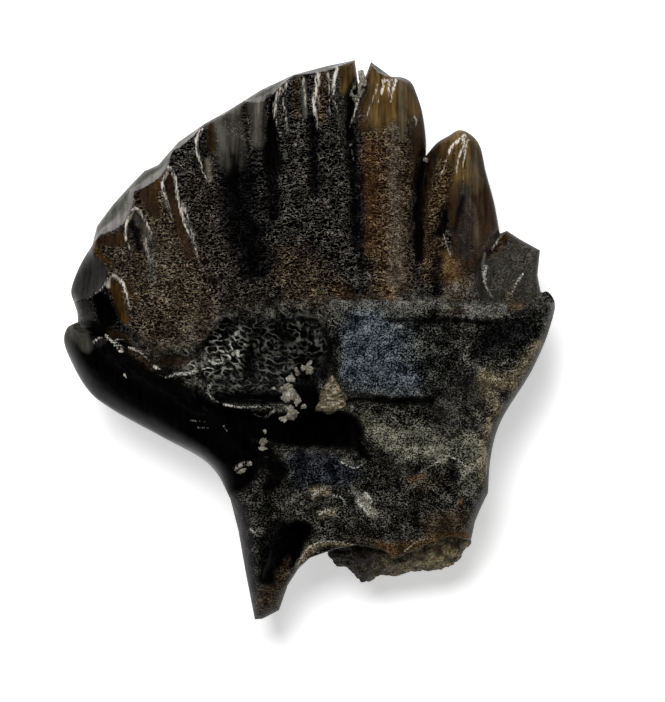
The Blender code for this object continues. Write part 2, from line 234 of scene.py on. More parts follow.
# The tooth: one piece of fossil enamel and dentine, grown as a fluted leaf-shaped crown on a
# swollen cingulum over a root that is broken off. Two grids are moulded to its outline and to the
# heights of its sides, with all that wear and breaks gave it. Its tables are in millimetres.
SIDE_CELLS = 290  # cells across each side before the back's facets are thinned
AROUND = 4 * SIDE_CELLS  # points round the outline
RIM_RUN = 20  # how many of them are measured from at a time
RIM_CROWDING = 1.4  # how much closer the points stand near the rim
RIM_BLENDINGS = 10  # how often the rim's values are blended with those beside them
JOIN = 0.0001
TOOTH_FACES = 196000
HEART = (0.01, -1.8)  # every point of the outline can be seen from here
BACK_FACING = -0.05  # upward share of the normals under which the back begins

# Heights along each side, from beyond the crown's tip to beyond the foot of the root
FRONT_HEIGHTS = (
    (9.5, 4.3), (8.4, 4.5), (5.0, 4.95), (1.2, 5.65), (-1.0, 5.9), (-4.0, 5.75), (-6.5, 5.2),
    (-9, 4.7),
)
BACK_HEIGHTS = (
    (9.5, 3.5), (8.4, 3.4), (5.0, 3.1), (1.2, 2.3), (-1.0, 2.0), (-4.0, 1.2), (-6.5, 0.8),
    (-9, 0.8),
)
SIDEWAYS_CURVE = 0.012  # how fast both sides fall away from the middle line
MIDDLE_X = 0.3
WAVER = 0.02  # how far the natural forms stray from their lines

# The outline, clockwise from the low left denticle. Each stretch has its points, whether it is
# a smooth curve, the height of the rim, and the roundness of its edge in front and behind.
OUTLINE = {
    "left_denticle_foot": (((-6.94, 0.54), (-6.97, 0.84), (-7.06, 1.11)), False, 3.7, 0.7, 0.7),
    "left_denticle": (
        ((-7.06, 1.11), (-7.15, 1.53), (-6.88, 2.25), (-6.52, 2.85)),
        True, 3.7, 0.25, 0.6,
    ),
    "worn_margin": (
        (
            (-6.52, 2.85), (-6.38, 3.42), (-5.89, 4.08), (-5.26, 4.77), (-4.96, 5.07),
            (-4.54, 5.26), (-3.94, 5.94), (-3.17, 6.48), (-2.32, 6.96), (-1.45, 7.51),
            (-0.49, 7.96), (0.53, 8.23), (1.36, 8.4),
        ),
        False, 3.65, 0.15, 0.6,
    ),
    "first_cleft": (
        ((1.36, 8.4), (1.43, 7.92), (1.51, 7.26), (1.64, 7.8), (1.84, 8.34)),
        False, 3.8, 0.4, 0.4,
    ),
    "second_denticle": (((1.84, 8.34), (2.44, 7.9)), False, 4.1, 0.2, 0.6),
    "second_denticle_side": (
        (
            (2.44, 7.9), (2.77, 7.88), (3.04, 7.74), (3.19, 7.44), (3.38, 6.84), (3.49, 6.06),
            (3.49, 5.52),
        ),
        True, 4.0, 0.7, 0.6,
    ),
    "third_denticle": (
        (
            (3.49, 5.52), (3.82, 5.91), (4.16, 6.12), (4.51, 6.3), (4.88, 6.13),
            (5.13, 5.77), (5.29, 5.04), (5.54, 4.11), (5.71, 3.19),
        ),
        True, 4.0, 0.8, 0.6,
    ),
    "broken_denticle": (
        ((5.71, 3.19), (5.92, 3.28), (6.31, 3.03), (6.92, 2.69), (6.84, 1.95), (6.94, 1.41)),
        False, 3.7, 0.15, 0.5,
    ),
    "right_cingulum": (
        (
            (6.94, 1.41), (7.15, 1.44), (7.36, 1.05), (7.18, 0.3), (6.94, -0.33), (6.55, -1.11),
            (5.75, -2.4), (5.44, -3.45), (5.35, -4.59),
        ),
        True, 4.3, 0.3, 1.6,
    ),
    "right_root_edge": (
        ((5.35, -4.59), (5.12, -5.07), (4.96, -5.46), (4.84, -6.03)),
        False, 3.9, 0.4, 1.2,
    ),
    "broken_rim": (
        (
            (4.84, -6.03), (4.25, -5.88), (3.65, -6.06), (3.04, -6.36), (2.56, -6.51),
            (2.11, -6.27), (1.43, -6.15), (0.77, -6.27), (0.01, -6.54), (-0.34, -6.87),
        ),
        False, 3.0, 0.05, 0.3,
    ),
    "spike": (
        (
            (-0.34, -6.87), (-0.65, -7.35), (-0.91, -8.1), (-1.4, -8.36), (-1.64, -8.38),
            (-1.91, -6.99), (-2.13, -5.73), (-2.38, -4.74),
        ),
        False, 3.9, 0.5, 0.8,
    ),
    "left_cingulum": (
        (
            (-2.38, -4.74), (-2.75, -4.02), (-3.28, -3.51), (-4.3, -2.96), (-5.87, -2.1),
            (-6.67, -1.44), (-7.3, -0.24), (-7.27, 0.33), (-6.94, 0.54),
        ),
        True, 4.8, 0.45, 2.0,
    ),
}

# Flats worn along the crown's margin: their outer line, their inner line, and the height that
# they fall to
WORN_FLATS = {
    "left_denticle": (
        OUTLINE["left_denticle"][0],
        (
            (-7.06, 1.11), (-6.61, 1.26), (-6.22, 1.53), (-6.03, 1.86), (-6.08, 2.19),
            (-6.34, 2.46), (-6.55, 2.76),
        ),
        4.15,
    ),
    "crown": (
        OUTLINE["worn_margin"][0],
        (
            (-6.55, 2.82), (-6.25, 3.15), (-5.83, 3.3), (-5.62, 3.45), (-5.38, 3.78),
            (-5.26, 4.17), (-5.26, 4.44), (-5, 4.53), (-4.67, 4.74), (-4.42, 4.93), (-4.23, 5.2),
            (-4.16, 5.52), (-4.08, 5.7), (-3.88, 5.76), (-3.44, 6.13), (-3.17, 6.52),
            (-2.98, 6.63), (-2.55, 6.75), (-2.23, 7.02), (-2.01, 7.17), (-1.74, 7.11),
            (-1.44, 7.13), (-1.21, 7.25), (-0.94, 7.51), (-0.63, 7.82), (-0.44, 7.95),
            (0.14, 7.99), (0.52, 8.05), (0.9, 8.2), (1.4, 8.4),
        ),
        4.25,
    ),
    "second_denticle": (((1.81, 8.34), (2.44, 7.9)), ((1.78, 8.31), (2.05, 8), (2.48, 7.86)), 4.3),
}
FLAT_MARGIN = 0.05

# The fourth denticle's broken face: its left edge, the corner that it stays right of and above,
# its height, and the reach and the slope of the wall beside it
BROKEN_LEFT = ((5.71, 3.21), (5.35, 2.52), (5.16, 2.1), (5.23, 1.5), (5.47, 1.23))
BROKEN_CORNER = (4.76, 1.13)
BROKEN_HEIGHT = 4.3
BROKEN_REACH = 3
BROKEN_WALL = 4.0

# Raised forms of the front: a line, its half width and its height, at its start and its end
RIDGES = {
    "first_denticle": (((0.97, 8.04), (1.06, 5.7), (1.09, 1.8)), (0.42, 0.48), (0.14, 0.04)),
    "second_denticle": (((2.59, 7.44), (2.5, 4.5), (2.35, 1.65)), (0.96, 1.02), (0.4, 0.12)),
    "third_denticle": (((4.51, 6), (4.51, 4.5), (4.27, 1.65)), (0.9, 1.02), (0.45, 0.12)),
    "low_left_denticle": (((-6.4, 2.1), (-6.17, 1.5)), (0.6, 0.66), (0.2, 0.2)),
    "between_arches": (((-4.72, 4.32), (-4.48, 3), (-3.94, 1.2)), (0.36, 0.66), (0.12, 0.1)),
    "above_arch": (((-5.75, 3.06), (-5.33, 1.92)), (0.36, 0.48), (0.12, 0.1)),
    "left_cingulum": (
        ((-6.64, -0.36), (-5.38, -1.32), (-3.88, -2.22), (-2.53, -3.45)),
        (1.2, 1.08), (1.0, 0.6),
    ),
    "crown_foot_lobe": (((-4.33, 0.66), (-3.4, 0.18)), (0.9, 1.02), (0.22, 0.28)),
    "pit_lip": (
        ((-3.28, -1.38), (-2.9, -1.86), (-1.78, -2.07), (-0.82, -2.16)),
        (0.3, 0.33), (0.3, 0.3),
    ),
    "right_cingulum": (((6.79, 0.84), (6.46, -0.3), (5.65, -1.65)), (0.9, 1.02), (0.35, 0.2)),
    "root_wall": (((-1.03, -3.9), (-1.43, -6), (-1.43, -7.8)), (1.02, 0.66), (0.25, 0.15)),
    "right_fold": (((5.89, 0.84), (6.31, 0.66), (7.15, 0.9)), (0.27, 0.3), (0.16, 0.2)),
    "right_root_wall": (((5.42, -1.8), (5.05, -3.6), (4.81, -5.4)), (0.54, 0.48), (0.16, 0.12)),
    "root_boss": (((3.31, -4.8), (4.21, -5.4)), (0.78, 0.72), (0.14, 0.1)),
    "left_root_swell": (((-0.28, -3.9), (1.21, -4.65), (2.42, -5.4)), (0.78, 0.78), (0.1, 0.08)),
}

# Grooves of the front with crisp shoulders: a line, its half width and its depth
GROOVES = {
    "arch_0": (((-5.87, 1.71), (-5.87, 1.2), (-5.68, 0.57)), (0.24, 0.27), (0.3, 0.22)),
    "black_scoop": (((-6.25, 1.08), (-6.01, 0.72)), (0.33, 0.36), (0.42, 0.42)),
    "left_crevice": (((-6.34, 2.55), (-5.96, 2.29), (-5.42, 1.83)), (0.12, 0.12), (0.16, 0.1)),
    "arch_a": (((-5.19, 3.69), (-5.14, 3.15), (-4.96, 2.34), (-4.6, 1.32)), (0.24, 0.3), (0.42, 0)),
    "arch_a_deep": (((-5.35, 3.36), (-5.26, 2.7), (-5.08, 2.1)), (0.15, 0.18), (0.2, 0)),
    "arch_b": (
        ((-4.2, 4.92), (-4.16, 4.35), (-3.94, 3.66), (-3.67, 2.94), (-3.46, 2.28)),
        (0.2, 0.24), (0.34, 0),
    ),
    "arch_c": (((-3.1, 6.12), (-3.17, 5.55), (-3.01, 4.86), (-2.77, 4.05)), (0.22, 0.24), (0.3, 0)),
    "flute_c": (((-2.35, 6.42), (-2.23, 5.4), (-2.15, 3.45)), (0.36, 0.42), (0.14, 0)),
    "flute_d": (((-1.88, 7.02), (-1.88, 5.7), (-1.81, 4.35)), (0.18, 0.27), (0.12, 0)),
    "flute_e": (((-1.17, 7.2), (-1.19, 6), (-1.06, 4.05)), (0.18, 0.33), (0.34, 0)),
    "flute_f": (((-0.82, 7.44), (-0.79, 6.3)), (0.12, 0.18), (0.14, 0)),
    "flute_g": (((-0.4, 7.83), (-0.4, 6.9), (-0.38, 6)), (0.15, 0.18), (0.16, 0)),
    "flute_h": (((-0.01, 7.92), (-0.01, 6.75)), (0.12, 0.15), (0.14, 0)),
    "flute_i": (((0.42, 7.98), (0.43, 7.2), (0.32, 5.7)), (0.15, 0.21), (0.18, 0)),
    "first_cleft": (
        ((1.51, 7.56), (1.3, 7.08), (1.21, 6.3), (1.27, 5.46)),
        (0.3, 0.24), (0.6, 0.2),
    ),
    "first_cleft_foot": (((1.27, 5.7), (1.43, 4.2), (1.51, 1.5)), (0.24, 0.27), (0.22, 0)),
    "second_cleft": (((3.49, 5.4), (3.31, 4.2), (3.23, 2.7), (3.31, 1.5)), (0.3, 0.27), (0.75, 0)),
    "third_cleft": (
        ((5.71, 3.09), (5.38, 2.58), (5.12, 2.1), (5.17, 1.56)),
        (0.15, 0.15), (0.3, 0.2),
    ),
    "third_denticle_crevice": (((4.09, 3.9), (3.94, 3.15)), (0.21, 0.27), (0.3, 0.15)),
    "third_denticle_hollow": (
        ((4.81, 4.35), (4.69, 3.15), (4.81, 2.55)),
        (0.54, 0.48), (0.22, 0.12),
    ),
    "above_cingulum": (
        ((-6.83, 0.45), (-6.17, 0.27), (-5.5, 0.21), (-4.79, -0.36), (-4.3, -0.72)),
        (0.21, 0.24), (0.35, 0.25),
    ),
    "lobe_foot": (((-4.48, -0.54), (-3.71, -0.72), (-3.04, -0.3)), (0.3, 0.3), (0.14, 0.16)),
    "pit": (((-2.21, -0.36), (-1.43, -0.48), (-0.53, -0.3)), (1.08, 1.26), (0.5, 0.7)),
    "root_crack": (((2.86, -2.67), (3.58, -2.85), (4.12, -2.94)), (0.1, 0.09), (0.12, 0.08)),
}

# Soft-sided hollows of the front, the same way
HOLLOWS = {
    "pit_hole": (((0.26, -1.02), (0.43, -1.8), (0.26, -2.7)), (0.81, 1.02), (0.8, 0.75)),
    "black_hollow": (((-1.78, -2.82), (-0.28, -2.88), (0.79, -2.64)), (0.6, 0.84), (0.3, 0.55)),
    "black_hollow_left": (((-1.43, -3.18), (-1, -4.02)), (0.48, 0.39), (0.3, 0.12)),
    "root_hollow": (((-0.49, -5.85), (-0.7, -6.48), (-1.06, -7.08)), (0.57, 0.45), (0.8, 0.6)),
    "panel_hollow": (((1.88, -0.15), (2.42, -0.9)), (1.02, 1.02), (0.1, 0.1)),
    "right_sweep": (((3.92, -1.65), (4.88, -2.16), (4.27, -2.7)), (0.72, 0.72), (0.2, 0.16)),
    "root_dent": (((2.71, -4.56), (2.96, -4.98)), (0.48, 0.48), (0.14, 0.14)),
    "root_dent_left": (((-0.53, -4.56), (-0.28, -5.16)), (0.54, 0.54), (0.1, 0.1)),
    "jet_dip": (((-5.92, -0.36), (-4.79, -1.14), (-3.28, -1.86)), (0.36, 0.48), (0.12, 0.16)),
}

# Ledges of the front: the surface falls on the right of the line, then comes back over a reach
LEDGE_WALL = 0.08  # how wide the fall itself is
LEDGE_ENDS = 0.15  # share of the line over which it fades in and out
LEDGES = {
    "crown_foot": (
        (
            (7.3, 1.23), (6.31, 1.08), (5.59, 1.2), (4.75, 1.05), (3.92, 1.23), (2.83, 1.11),
            (1.88, 1.29), (1.06, 1.14), (0.32, 1.2),
        ),
        (0.36, 0.14), 1.2,
    ),
    "shoulder": (
        (
            (0.79, 0.78), (1.51, 0.69), (2.32, 0.66), (3.31, 0.57), (4.21, 0.69), (5.23, 0.57),
            (6.1, 0.6),
        ),
        (0.14, 0.22), 1.38,
    ),
    "lobe": (
        (
            (-4.84, -0.24), (-4.25, -0.45), (-3.71, -0.42), (-3.28, -0.15), (-2.92, 0.33),
            (-2.5, 0.75),
        ),
        (0.12, 0.3), 0.6,
    ),
    "pit_side": (((0.38, 1.2), (0.61, 0.3), (0.49, -0.9)), (0.12, 0.2), 0.72),
    "upper_panel": (
        ((0.61, -1.5), (1.27, -1.56), (2.27, -1.68), (3.44, -1.71), (4.09, -1.56)),
        (0.3, 0.2), 0.9,
    ),
    "lower_panel": (
        ((1.09, -1.92), (1.45, -2.64), (1.99, -3.3), (2.59, -3.72), (3.61, -3.69)),
        (0.34, 0.12), 1.08,
    ),
    "root_panel": (
        ((4.27, -3.48), (3.88, -3.66), (3.34, -3.93), (2.98, -4.11), (2.27, -4.2)),
        (0.1, 0.16), 0.66,
    ),
    "jet_roll": (
        ((-5.44, -0.12), (-4.79, -0.66), (-4.12, -1.14), (-3.17, -1.2)),
        (0.1, 0.12), 0.42,
    ),
}

# Thin crests and lines: a line, half width, height, and how much paler they are. Most are raised
# crests with a painted highlight along them; the rags and the rim and rust lines are real pale
# marks.
CRESTS = {
    "flat_0": (((-6.04, 1.83), (-6.22, 1.53), (-6.61, 1.26), (-7, 1.14)), 0.03, 0.03, 0.3),
    "arch_0_left": (((-6.03, 1.59), (-6.01, 1.8), (-5.89, 1.93)), 0.06, 0.03, 0.9),
    "arch_0_right": (
        ((-5.89, 1.93), (-5.73, 1.83), (-5.59, 1.68), (-5.46, 1.38), (-5.38, 1.02)),
        0.06, 0.04, 0.9,
    ),
    "arch_a_right": (((-5.21, 3.96), (-5.04, 3.81), (-4.86, 3.48), (-4.63, 3)), 0.05, 0.035, 0.75),
    "arch_a_left": (
        ((-5.23, 3.94), (-5.42, 3.6), (-5.49, 3.25), (-5.43, 2.91), (-5.29, 2.64)),
        0.05, 0.03, 1.0,
    ),
    "arch_b_left": (
        ((-4.21, 5.13), (-4.39, 4.78), (-4.42, 4.56), (-4.33, 4.29), (-4.18, 3.9), (-4.06, 3.6)),
        0.05, 0.03, 1.0,
    ),
    "arch_b_right": (
        (
            (-4.18, 5.13), (-4.04, 4.82), (-3.97, 4.29), (-3.81, 3.79), (-3.66, 3.33),
            (-3.46, 2.95), (-3.31, 2.31),
        ),
        0.05, 0.03, 0.9,
    ),
    "arch_c_left": (
        ((-3.19, 6.33), (-3.36, 6), (-3.38, 5.73), (-3.31, 5.4), (-3.23, 5.1), (-3.07, 4.8)),
        0.05, 0.03, 1.0,
    ),
    "rim_e": (((-0.85, 7.5), (-1, 7.23), (-1.03, 6.84), (-0.94, 6.39)), 0.1, 0.03, 0.8),
    "rim_f": (((-0.72, 7.71), (-0.75, 7.32)), 0.04, 0.02, 0.5),
    "rim_g": (((-0.18, 7.8), (-0.14, 7.26), (-0.1, 6.72)), 0.07, 0.02, 0.35),
    "streak_h": (
        ((0.26, 7.93), (0.2, 7.56), (0.12, 7.14), (0.2, 6.72), (0.26, 6.36)),
        0.1, 0.03, 0.9,
    ),
    "streak_i": (((0.79, 8.12), (0.72, 7.8), (0.73, 7.44), (0.77, 7.08)), 0.08, 0.03, 0.75),
    "streak_j": (((0.53, 7.98), (0.61, 7.5), (0.61, 6.9), (0.67, 6.36)), 0.05, 0.02, 0.3),
    "cleft_line": (((1.47, 7.29), (1.4, 6.9), (1.2, 6.33)), 0.03, 0.02, 0.6),
    "cleft_thread": (((1.27, 5.7), (1.33, 5.25), (1.33, 4.74)), 0.01, 0.01, 0),
    "tip_b_a": (((2.21, 7.8), (2.15, 7.5), (2.05, 7.11)), 0.04, 0.02, 0.9),
    "tip_b_b": (((2.38, 7.8), (2.35, 7.5), (2.41, 7.11)), 0.03, 0.02, 0.7),
    "tip_b_c": (((2.58, 7.8), (2.49, 7.5), (2.43, 7.11)), 0.04, 0.02, 0.9),
    "tip_b_top": (((2.17, 7.81), (2.59, 7.8)), 0.03, 0.01, 0.6),
    "tip_b_left": (((2.02, 7.68), (1.81, 6.96), (1.67, 6.42), (1.62, 5.94)), 0.04, 0.02, 0.2),
    "tip_b_hook": (((3.15, 6.69), (3.23, 6.54), (3.19, 6.36)), 0.02, 0.01, 0.4),
    "tip_c_top": (((4.65, 6.15), (4.54, 6.03)), 0.05, 0.02, 1.0),
    "tip_c_left": (
        ((4.58, 6.06), (4.3, 5.83), (4.16, 5.55), (4.01, 5.16), (3.87, 4.86)),
        0.04, 0.02, 0.9,
    ),
    "tip_c_right": (((4.62, 6.06), (4.58, 5.7), (4.42, 5.35), (4.35, 4.89)), 0.04, 0.02, 0.9),
    "tip_c_link": (((4.16, 5.58), (4.27, 5.62), (4.39, 5.58)), 0.02, 0.01, 0.6),
    "tip_c_far": (((4.77, 6.03), (4.6, 5.26), (4.6, 4.38)), 0.05, 0.02, 0.4),
    "crevice_lip": (((4.21, 2.52), (4.12, 2.82), (4, 3.27)), 0.03, 0.03, 0.2),
    "broken_border": (((5.26, 2.58), (5.17, 2.16), (5.23, 1.68), (5.47, 1.29)), 0.04, 0.02, 0.75),
    "broken_honey": (((5.47, 2.73), (5.71, 3.06), (5.92, 3.24)), 0.04, 0.02, 0.4),
    "broken_scratch": (((6.38, 1.95), (6.13, 1.59), (6, 1.32)), 0.02, 0.01, 0.6),
    "shoulder_line": (((3.31, 1.14), (4.21, 1.05), (5.12, 1.14)), 0.02, 0.02, 0.0),
    "fold_line": (
        ((5.91, 0.81), (6.08, 0.63), (6.49, 0.69), (7.11, 0.82), (7.27, 1.05)),
        0.02, 0.03, 0.0,
    ),
    "jet_glint_a": (
        (
            (-6.04, 0.15), (-5.8, -0.12), (-5.62, -0.33), (-5.56, -0.21), (-5.77, 0.03),
            (-5.47, 0.04),
        ),
        0.02, 0.03, 0.9,
    ),
    "jet_glint_b": (
        ((-5.35, -0.21), (-5.04, -0.36), (-4.81, -0.6), (-4.67, -0.81)),
        0.02, 0.03, 0.8,
    ),
    "jet_glint_c": (((-4.6, -0.81), (-4.46, -0.9)), 0.06, 0.02, 1.0),
    "jet_glint_d": (((-5.54, -1.02), (-5.42, -1.17)), 0.03, 0.01, 0.4),
    "jet_polygon": (((-6.4, -0.09), (-6.22, 0.06), (-6.04, 0)), 0.07, 0.02, 0.2),
    "beads": (
        ((-3.4, -0.9), (-3.71, -1.02), (-4, -1.05), (-4.3, -1.14), (-4.54, -1.02)),
        0.1, 0.03, 0.35,
    ),
    "lip_chain_a": (
        ((-2.96, -1.29), (-3.04, -1.53), (-2.86, -1.77), (-2.56, -1.92)),
        0.08, 0.03, 0.2,
    ),
    "lip_chain_b": (
        ((-2.56, -1.92), (-2.02, -2.01), (-1.48, -2.02), (-0.85, -2.04)),
        0.03, 0.03, 0.35,
    ),
    "lip_lens": (((-1.03, -2.13), (-1.36, -2.34), (-1.72, -2.19)), 0.05, 0.03, 0.2),
    "dash_a": (((-3.5, -2.39), (-2.75, -2.46)), 0.02, 0.01, 0),
    "dash_b": (((-3.28, -2.61), (-2.8, -2.62)), 0.02, 0.01, 0),
    "loop_c": (((-2.53, -2.55), (-2.42, -2.7), (-2.27, -2.58)), 0.02, 0.01, 0),
    "panel_edge": (((3.88, -3.63), (3.34, -3.93), (3, -4.11)), 0.01, 0.02, 0.2),
    "hair_left": (((-0.09, -4.05), (-0.04, -4.44), (0.12, -4.8)), 0.01, 0.01, 0),
    "hair_mid": (((0.89, -3.63), (1.09, -3.78), (1.36, -3.84), (1.69, -3.63)), 0.02, 0.01, 0.5),
    "spike_scratch": (((-1.75, -5.67), (-1.51, -5.88)), 0.02, 0.01, 0.5),
    "rim_line": (
        (
            (-0.38, -6.78), (-0.22, -6.45), (0, -6.18), (0.38, -6.04), (0.94, -6.04), (1.51, -6.17),
            (1.99, -6.24),
        ),
        0.03, 0.01, 0.25,
    ),
    "rust_line": (((2.83, -6.33), (3.25, -6.03), (3.67, -5.96), (3.94, -5.89)), 0.03, 0.01, 0.1),
    "lobe_line": (
        (
            (-2.55, 0.69), (-2.93, 0.34), (-3.28, -0.15), (-3.73, -0.42), (-4.25, -0.42),
            (-4.54, -0.3),
        ),
        0.02, 0.01, 0.0,
    ),
    "rag_a": (((0.1, -4.62), (0.32, -4.47), (0.55, -4.44)), 0.12, 0.01, 0.35),
    "rag_b": (((0.34, -5.19), (0.53, -5.1), (0.7, -5.16)), 0.1, 0.01, 0.3),
    "rag_c": (((0.7, -4.68), (0.97, -4.74), (1.12, -5.04), (1.24, -5.16)), 0.07, 0.01, 0.2),
    "rag_d": (((1.45, -4.8), (1.64, -5.04), (1.88, -5.22), (2.05, -5.28)), 0.09, 0.01, 0.5),
    "rag_e": (((1.69, -4.62), (1.84, -4.77), (1.81, -5.01)), 0.12, 0.01, 0.5),
    "shine_halo_e": (((-0.79, 7.2), (-0.7, 6.66), (-0.58, 6.12)), 0.12, 0.01, 0.15),
    "shine_halo_h": (((0.28, 7.32), (0.32, 6.84), (0.38, 6.48)), 0.09, 0.01, 0),
    "shine_halo_i": (((0.73, 7.2), (0.85, 6.84), (0.91, 6.54)), 0.09, 0.01, 0),
    "shine_halo_b": (((-3.76, 4.05), (-3.58, 3.48), (-3.34, 2.82)), 0.1, 0.01, 0.15),
    "shine_halo_a": (((-4.91, 3), (-4.79, 2.46), (-4.69, 1.92)), 0.14, 0.01, 0.3),
    "rag_f": (((-2.21, -3.84), (-1.91, -3.69), (-1.69, -3.78)), 0.12, 0.01, 0.3),
    "broken_glint": (((5.29, 2.22), (5.23, 1.98), (5.29, 1.74)), 0.05, 0.01, 0.5),
    "olive_line": (((4.16, -3.48), (4.58, -3.69), (4.81, -3.96)), 0.03, 0.01, 0.4),
}

# Raised forms of the back, the same way, and the spots that it rests on
BACK_RIDGES = {
    "cingulum": (
        ((-6.13, -0.15), (-3.28, 0.45), (0.91, 0.66), (5.12, 1.05), (6.31, 0.9)),
        (3.0, 2.8), (1.75, 1.75),
    ),
    "left_rest": (((-4.33, 0.78), (-2.69, 0.9)), (2.3, 2.3), (1.3, 1.3)),
    "right_rest": (((3.46, 1.26), (4.81, 1.32)), (2.3, 2.3), (1.3, 1.3)),
    "root_rest": (((0.91, -4.14), (2.27, -4.8)), (2.4, 2.2), (1.55, 1.55)),
    "second_denticle": (((2.62, 7.35), (2.48, 4.2)), (0.84, 0.9), (0.2, 0.1)),
    "third_denticle": (((4.51, 5.7), (4.37, 3.6)), (0.84, 0.9), (0.2, 0.1)),
}
BACK_GROOVES = {
    "first_cleft": (((1.51, 7.38), (1.45, 5.7), (1.51, 3.3)), (0.36, 0.27), (0.5, 0.05)),
    "second_cleft": (((3.49, 5.7), (3.38, 4.5), (3.28, 3)), (0.39, 0.27), (0.5, 0.05)),
    "flute_a": (((-5.08, 4.05), (-4.48, 2.1)), (0.36, 0.27), (0.15, 0.05)),
    "flute_b": (((-3.58, 5.7), (-3.13, 3)), (0.36, 0.27), (0.15, 0.05)),
    "flute_c": (((-2.08, 6.66), (-1.84, 3.6)), (0.36, 0.27), (0.15, 0.05)),
    "flute_d": (((-0.73, 7.44), (-0.65, 3.9)), (0.36, 0.27), (0.15, 0.05)),
    "flute_e": (((0.46, 7.8), (0.53, 4.2)), (0.36, 0.27), (0.15, 0.05)),
}

# The network of raised veins on the pit's floor
NETWORK = ((-2.62, -0.36), (-1.54, -0.3), (-0.7, -0.09))
NETWORK_REACH = 1.32
NETWORK_BORDER = 0.5  # width of the band over which it sinks into its surroundings
NETWORK_CELL = 0.21
NETWORK_STRETCH = (0.8, 1.25)  # how much finer it is across and along the tooth
VEIN_HEIGHT = 0.07
VEIN_FOOT = 0.25  # what the network's field has grown to at the foot of a vein

# Where the enamel gives way to the root, and how wide the change is
ROOT_TOP = (
    (-7.48, 0.66), (-3.28, -0.15), (-2.62, 0.84), (0.32, 1.2), (1.06, 1.11), (1.88, 1.29),
    (2.83, 1.08), (3.92, 1.23), (4.75, 1.05), (5.59, 1.2), (7.51, 1.14),
)
ROOT_TOP_REACH = 20
ROOT_TOP_WIDTH = 0.4

# Size and height of the uneven swells of the bone and the back, and the enamel's share of them
UNEVEN = ((0.9, 0.05), (0.32, 0.022))
UNEVEN_BACK = (0.9, 0.06)
ENAMEL_UNEVEN = 0.08


def rounded(points, steps=6):
    """Points along a Catmull-Rom curve through the given ones."""
    ends = [points[0], *points, points[-1]]
    curve = []
    for a, b, c, d in zip(ends, ends[1:], ends[2:], ends[3:]):
        a, b, c, d = (np.array(p) for p in (a, b, c, d))
        for u in np.arange(steps) / steps:
            bend = (2 * a - 5 * b + 4 * c - d) * u**2 + (3 * b - a - 3 * c + d) * u**3
            curve.append(b + 0.5 * ((c - a) * u + bend))
    return np.array([*curve, points[-1]])


def travelled(points):
    """How far along a line each of its points is."""
    return np.concatenate([[0], np.cumsum(np.hypot(*np.diff(points, axis=0).T))])


def outline():
    """AROUND points round the tooth, with every corner kept, and the rim values at each one."""
    pieces, values = [], []
    for points, smooth, *rim in OUTLINE.values():
        runs = [rounded(points)] if smooth else [np.array(pair) for pair in zip(points, points[1:])]
        pieces.extend(runs)
        values.extend([rim] * len(runs))
    marks = [travelled(piece) for piece in pieces]
    lengths = np.array([mark[-1] for mark in marks])
    shares = np.maximum(1, np.floor(lengths / lengths.sum() * AROUND)).astype(int)
    while shares.sum() < AROUND:
        shares[np.argmax(lengths / shares)] += 1
    while shares.sum() > AROUND:
        shares[np.argmin(np.where(shares > 1, lengths / shares, np.inf))] -= 1
    points, rims = [], []
    for piece, mark, share, value in zip(pieces, marks, shares, values):
        at = np.arange(share) / share * mark[-1]
        points.extend(zip(*(np.interp(at, mark, axis) for axis in piece.T)))
        rims.extend([value] * share)
    rims = np.array(rims)
    for _ in range(RIM_BLENDINGS):
        rims = (np.roll(rims, 1, axis=0) + 2 * rims + np.roll(rims, -1, axis=0)) / 4
    return np.array(points), rims


def follow(x, y, path):
    """Distance from a path, share of its length at the nearest point, and side (1 is its left)."""
    runs = np.diff(path, axis=0)
    lengths = np.hypot(*runs.T)
    starts = np.concatenate([[0], np.cumsum(lengths)])
    distance = np.full_like(x, np.inf)
    share = np.zeros_like(x)
    side = np.ones_like(x)
    for (px, py), (dx, dy), length, start in zip(path, runs, lengths, starts):
        u = np.clip(((x - px) * dx + (y - py) * dy) / length**2, 0, 1)
        ex = x - px - u * dx
        ey = y - py - u * dy
        near = np.hypot(ex, ey) < distance
        distance = np.where(near, np.hypot(ex, ey), distance)
        share = np.where(near, (start + u * length) / starts[-1], share)
        side = np.where(near, np.sign(dx * ey - dy * ex), side)
    return distance, share, side


def along(x, y, path, reach, form):
    """What a form gives within its reach of a path, and nothing elsewhere."""
    path = rounded(path, 4) if len(path) > 2 else np.array(path)
    low, high = path.min(axis=0) - reach, path.max(axis=0) + reach
    close = (x > low[0]) & (x < high[0]) & (y > low[1]) & (y < high[1])
    given = np.zeros_like(x)
    given[close] = form(*follow(x[close], y[close], path))
    return given


def between(ends, share):
    """The value at a share of the way from the first end to the second."""
    return ends[0] + (ends[1] - ends[0]) * share


def ridge(x, y, path, half_width, height):
    """A soft swelling along a path."""

    def form(distance, share, _):
        across = np.clip(distance / between(half_width, share), 0, 1)
        return between(height, share) * (1 - across**2) ** 2

    return along(x, y, path, max(half_width), form)


def groove(x, y, path, half_width, depth):
    """A scooped channel along a path, with crisp shoulders."""

    def form(distance, share, _):
        across = np.clip(distance / between(half_width, share), 0, 1)
        return between(depth, share) * (1 - across**2)

    return along(x, y, path, max(half_width), form)


def ledge(x, y, path, drop, reach):
    """A steep fall on the right of a path, which comes back to nothing over its reach."""

    def form(distance, share, side):
        fall = np.minimum(distance / LEDGE_WALL, 1)
        fall *= np.clip(1 - (distance - LEDGE_WALL) / reach, 0, 1)
        ends = np.clip(np.minimum(share, 1 - share) / LEDGE_ENDS, 0, 1)
        return np.where(side < 0, between(drop, share) * fall * ends, 0)

    return along(x, y, path, reach + LEDGE_WALL, form)


def body(x, y, heights, sense):
    """The plain curved side of the tooth: sense is 1 in front and -1 behind."""
    ys, zs = rounded(heights[::-1]).T
    return np.interp(y, ys, zs) - sense * SIDEWAYS_CURVE * (x - MIDDLE_X) ** 2


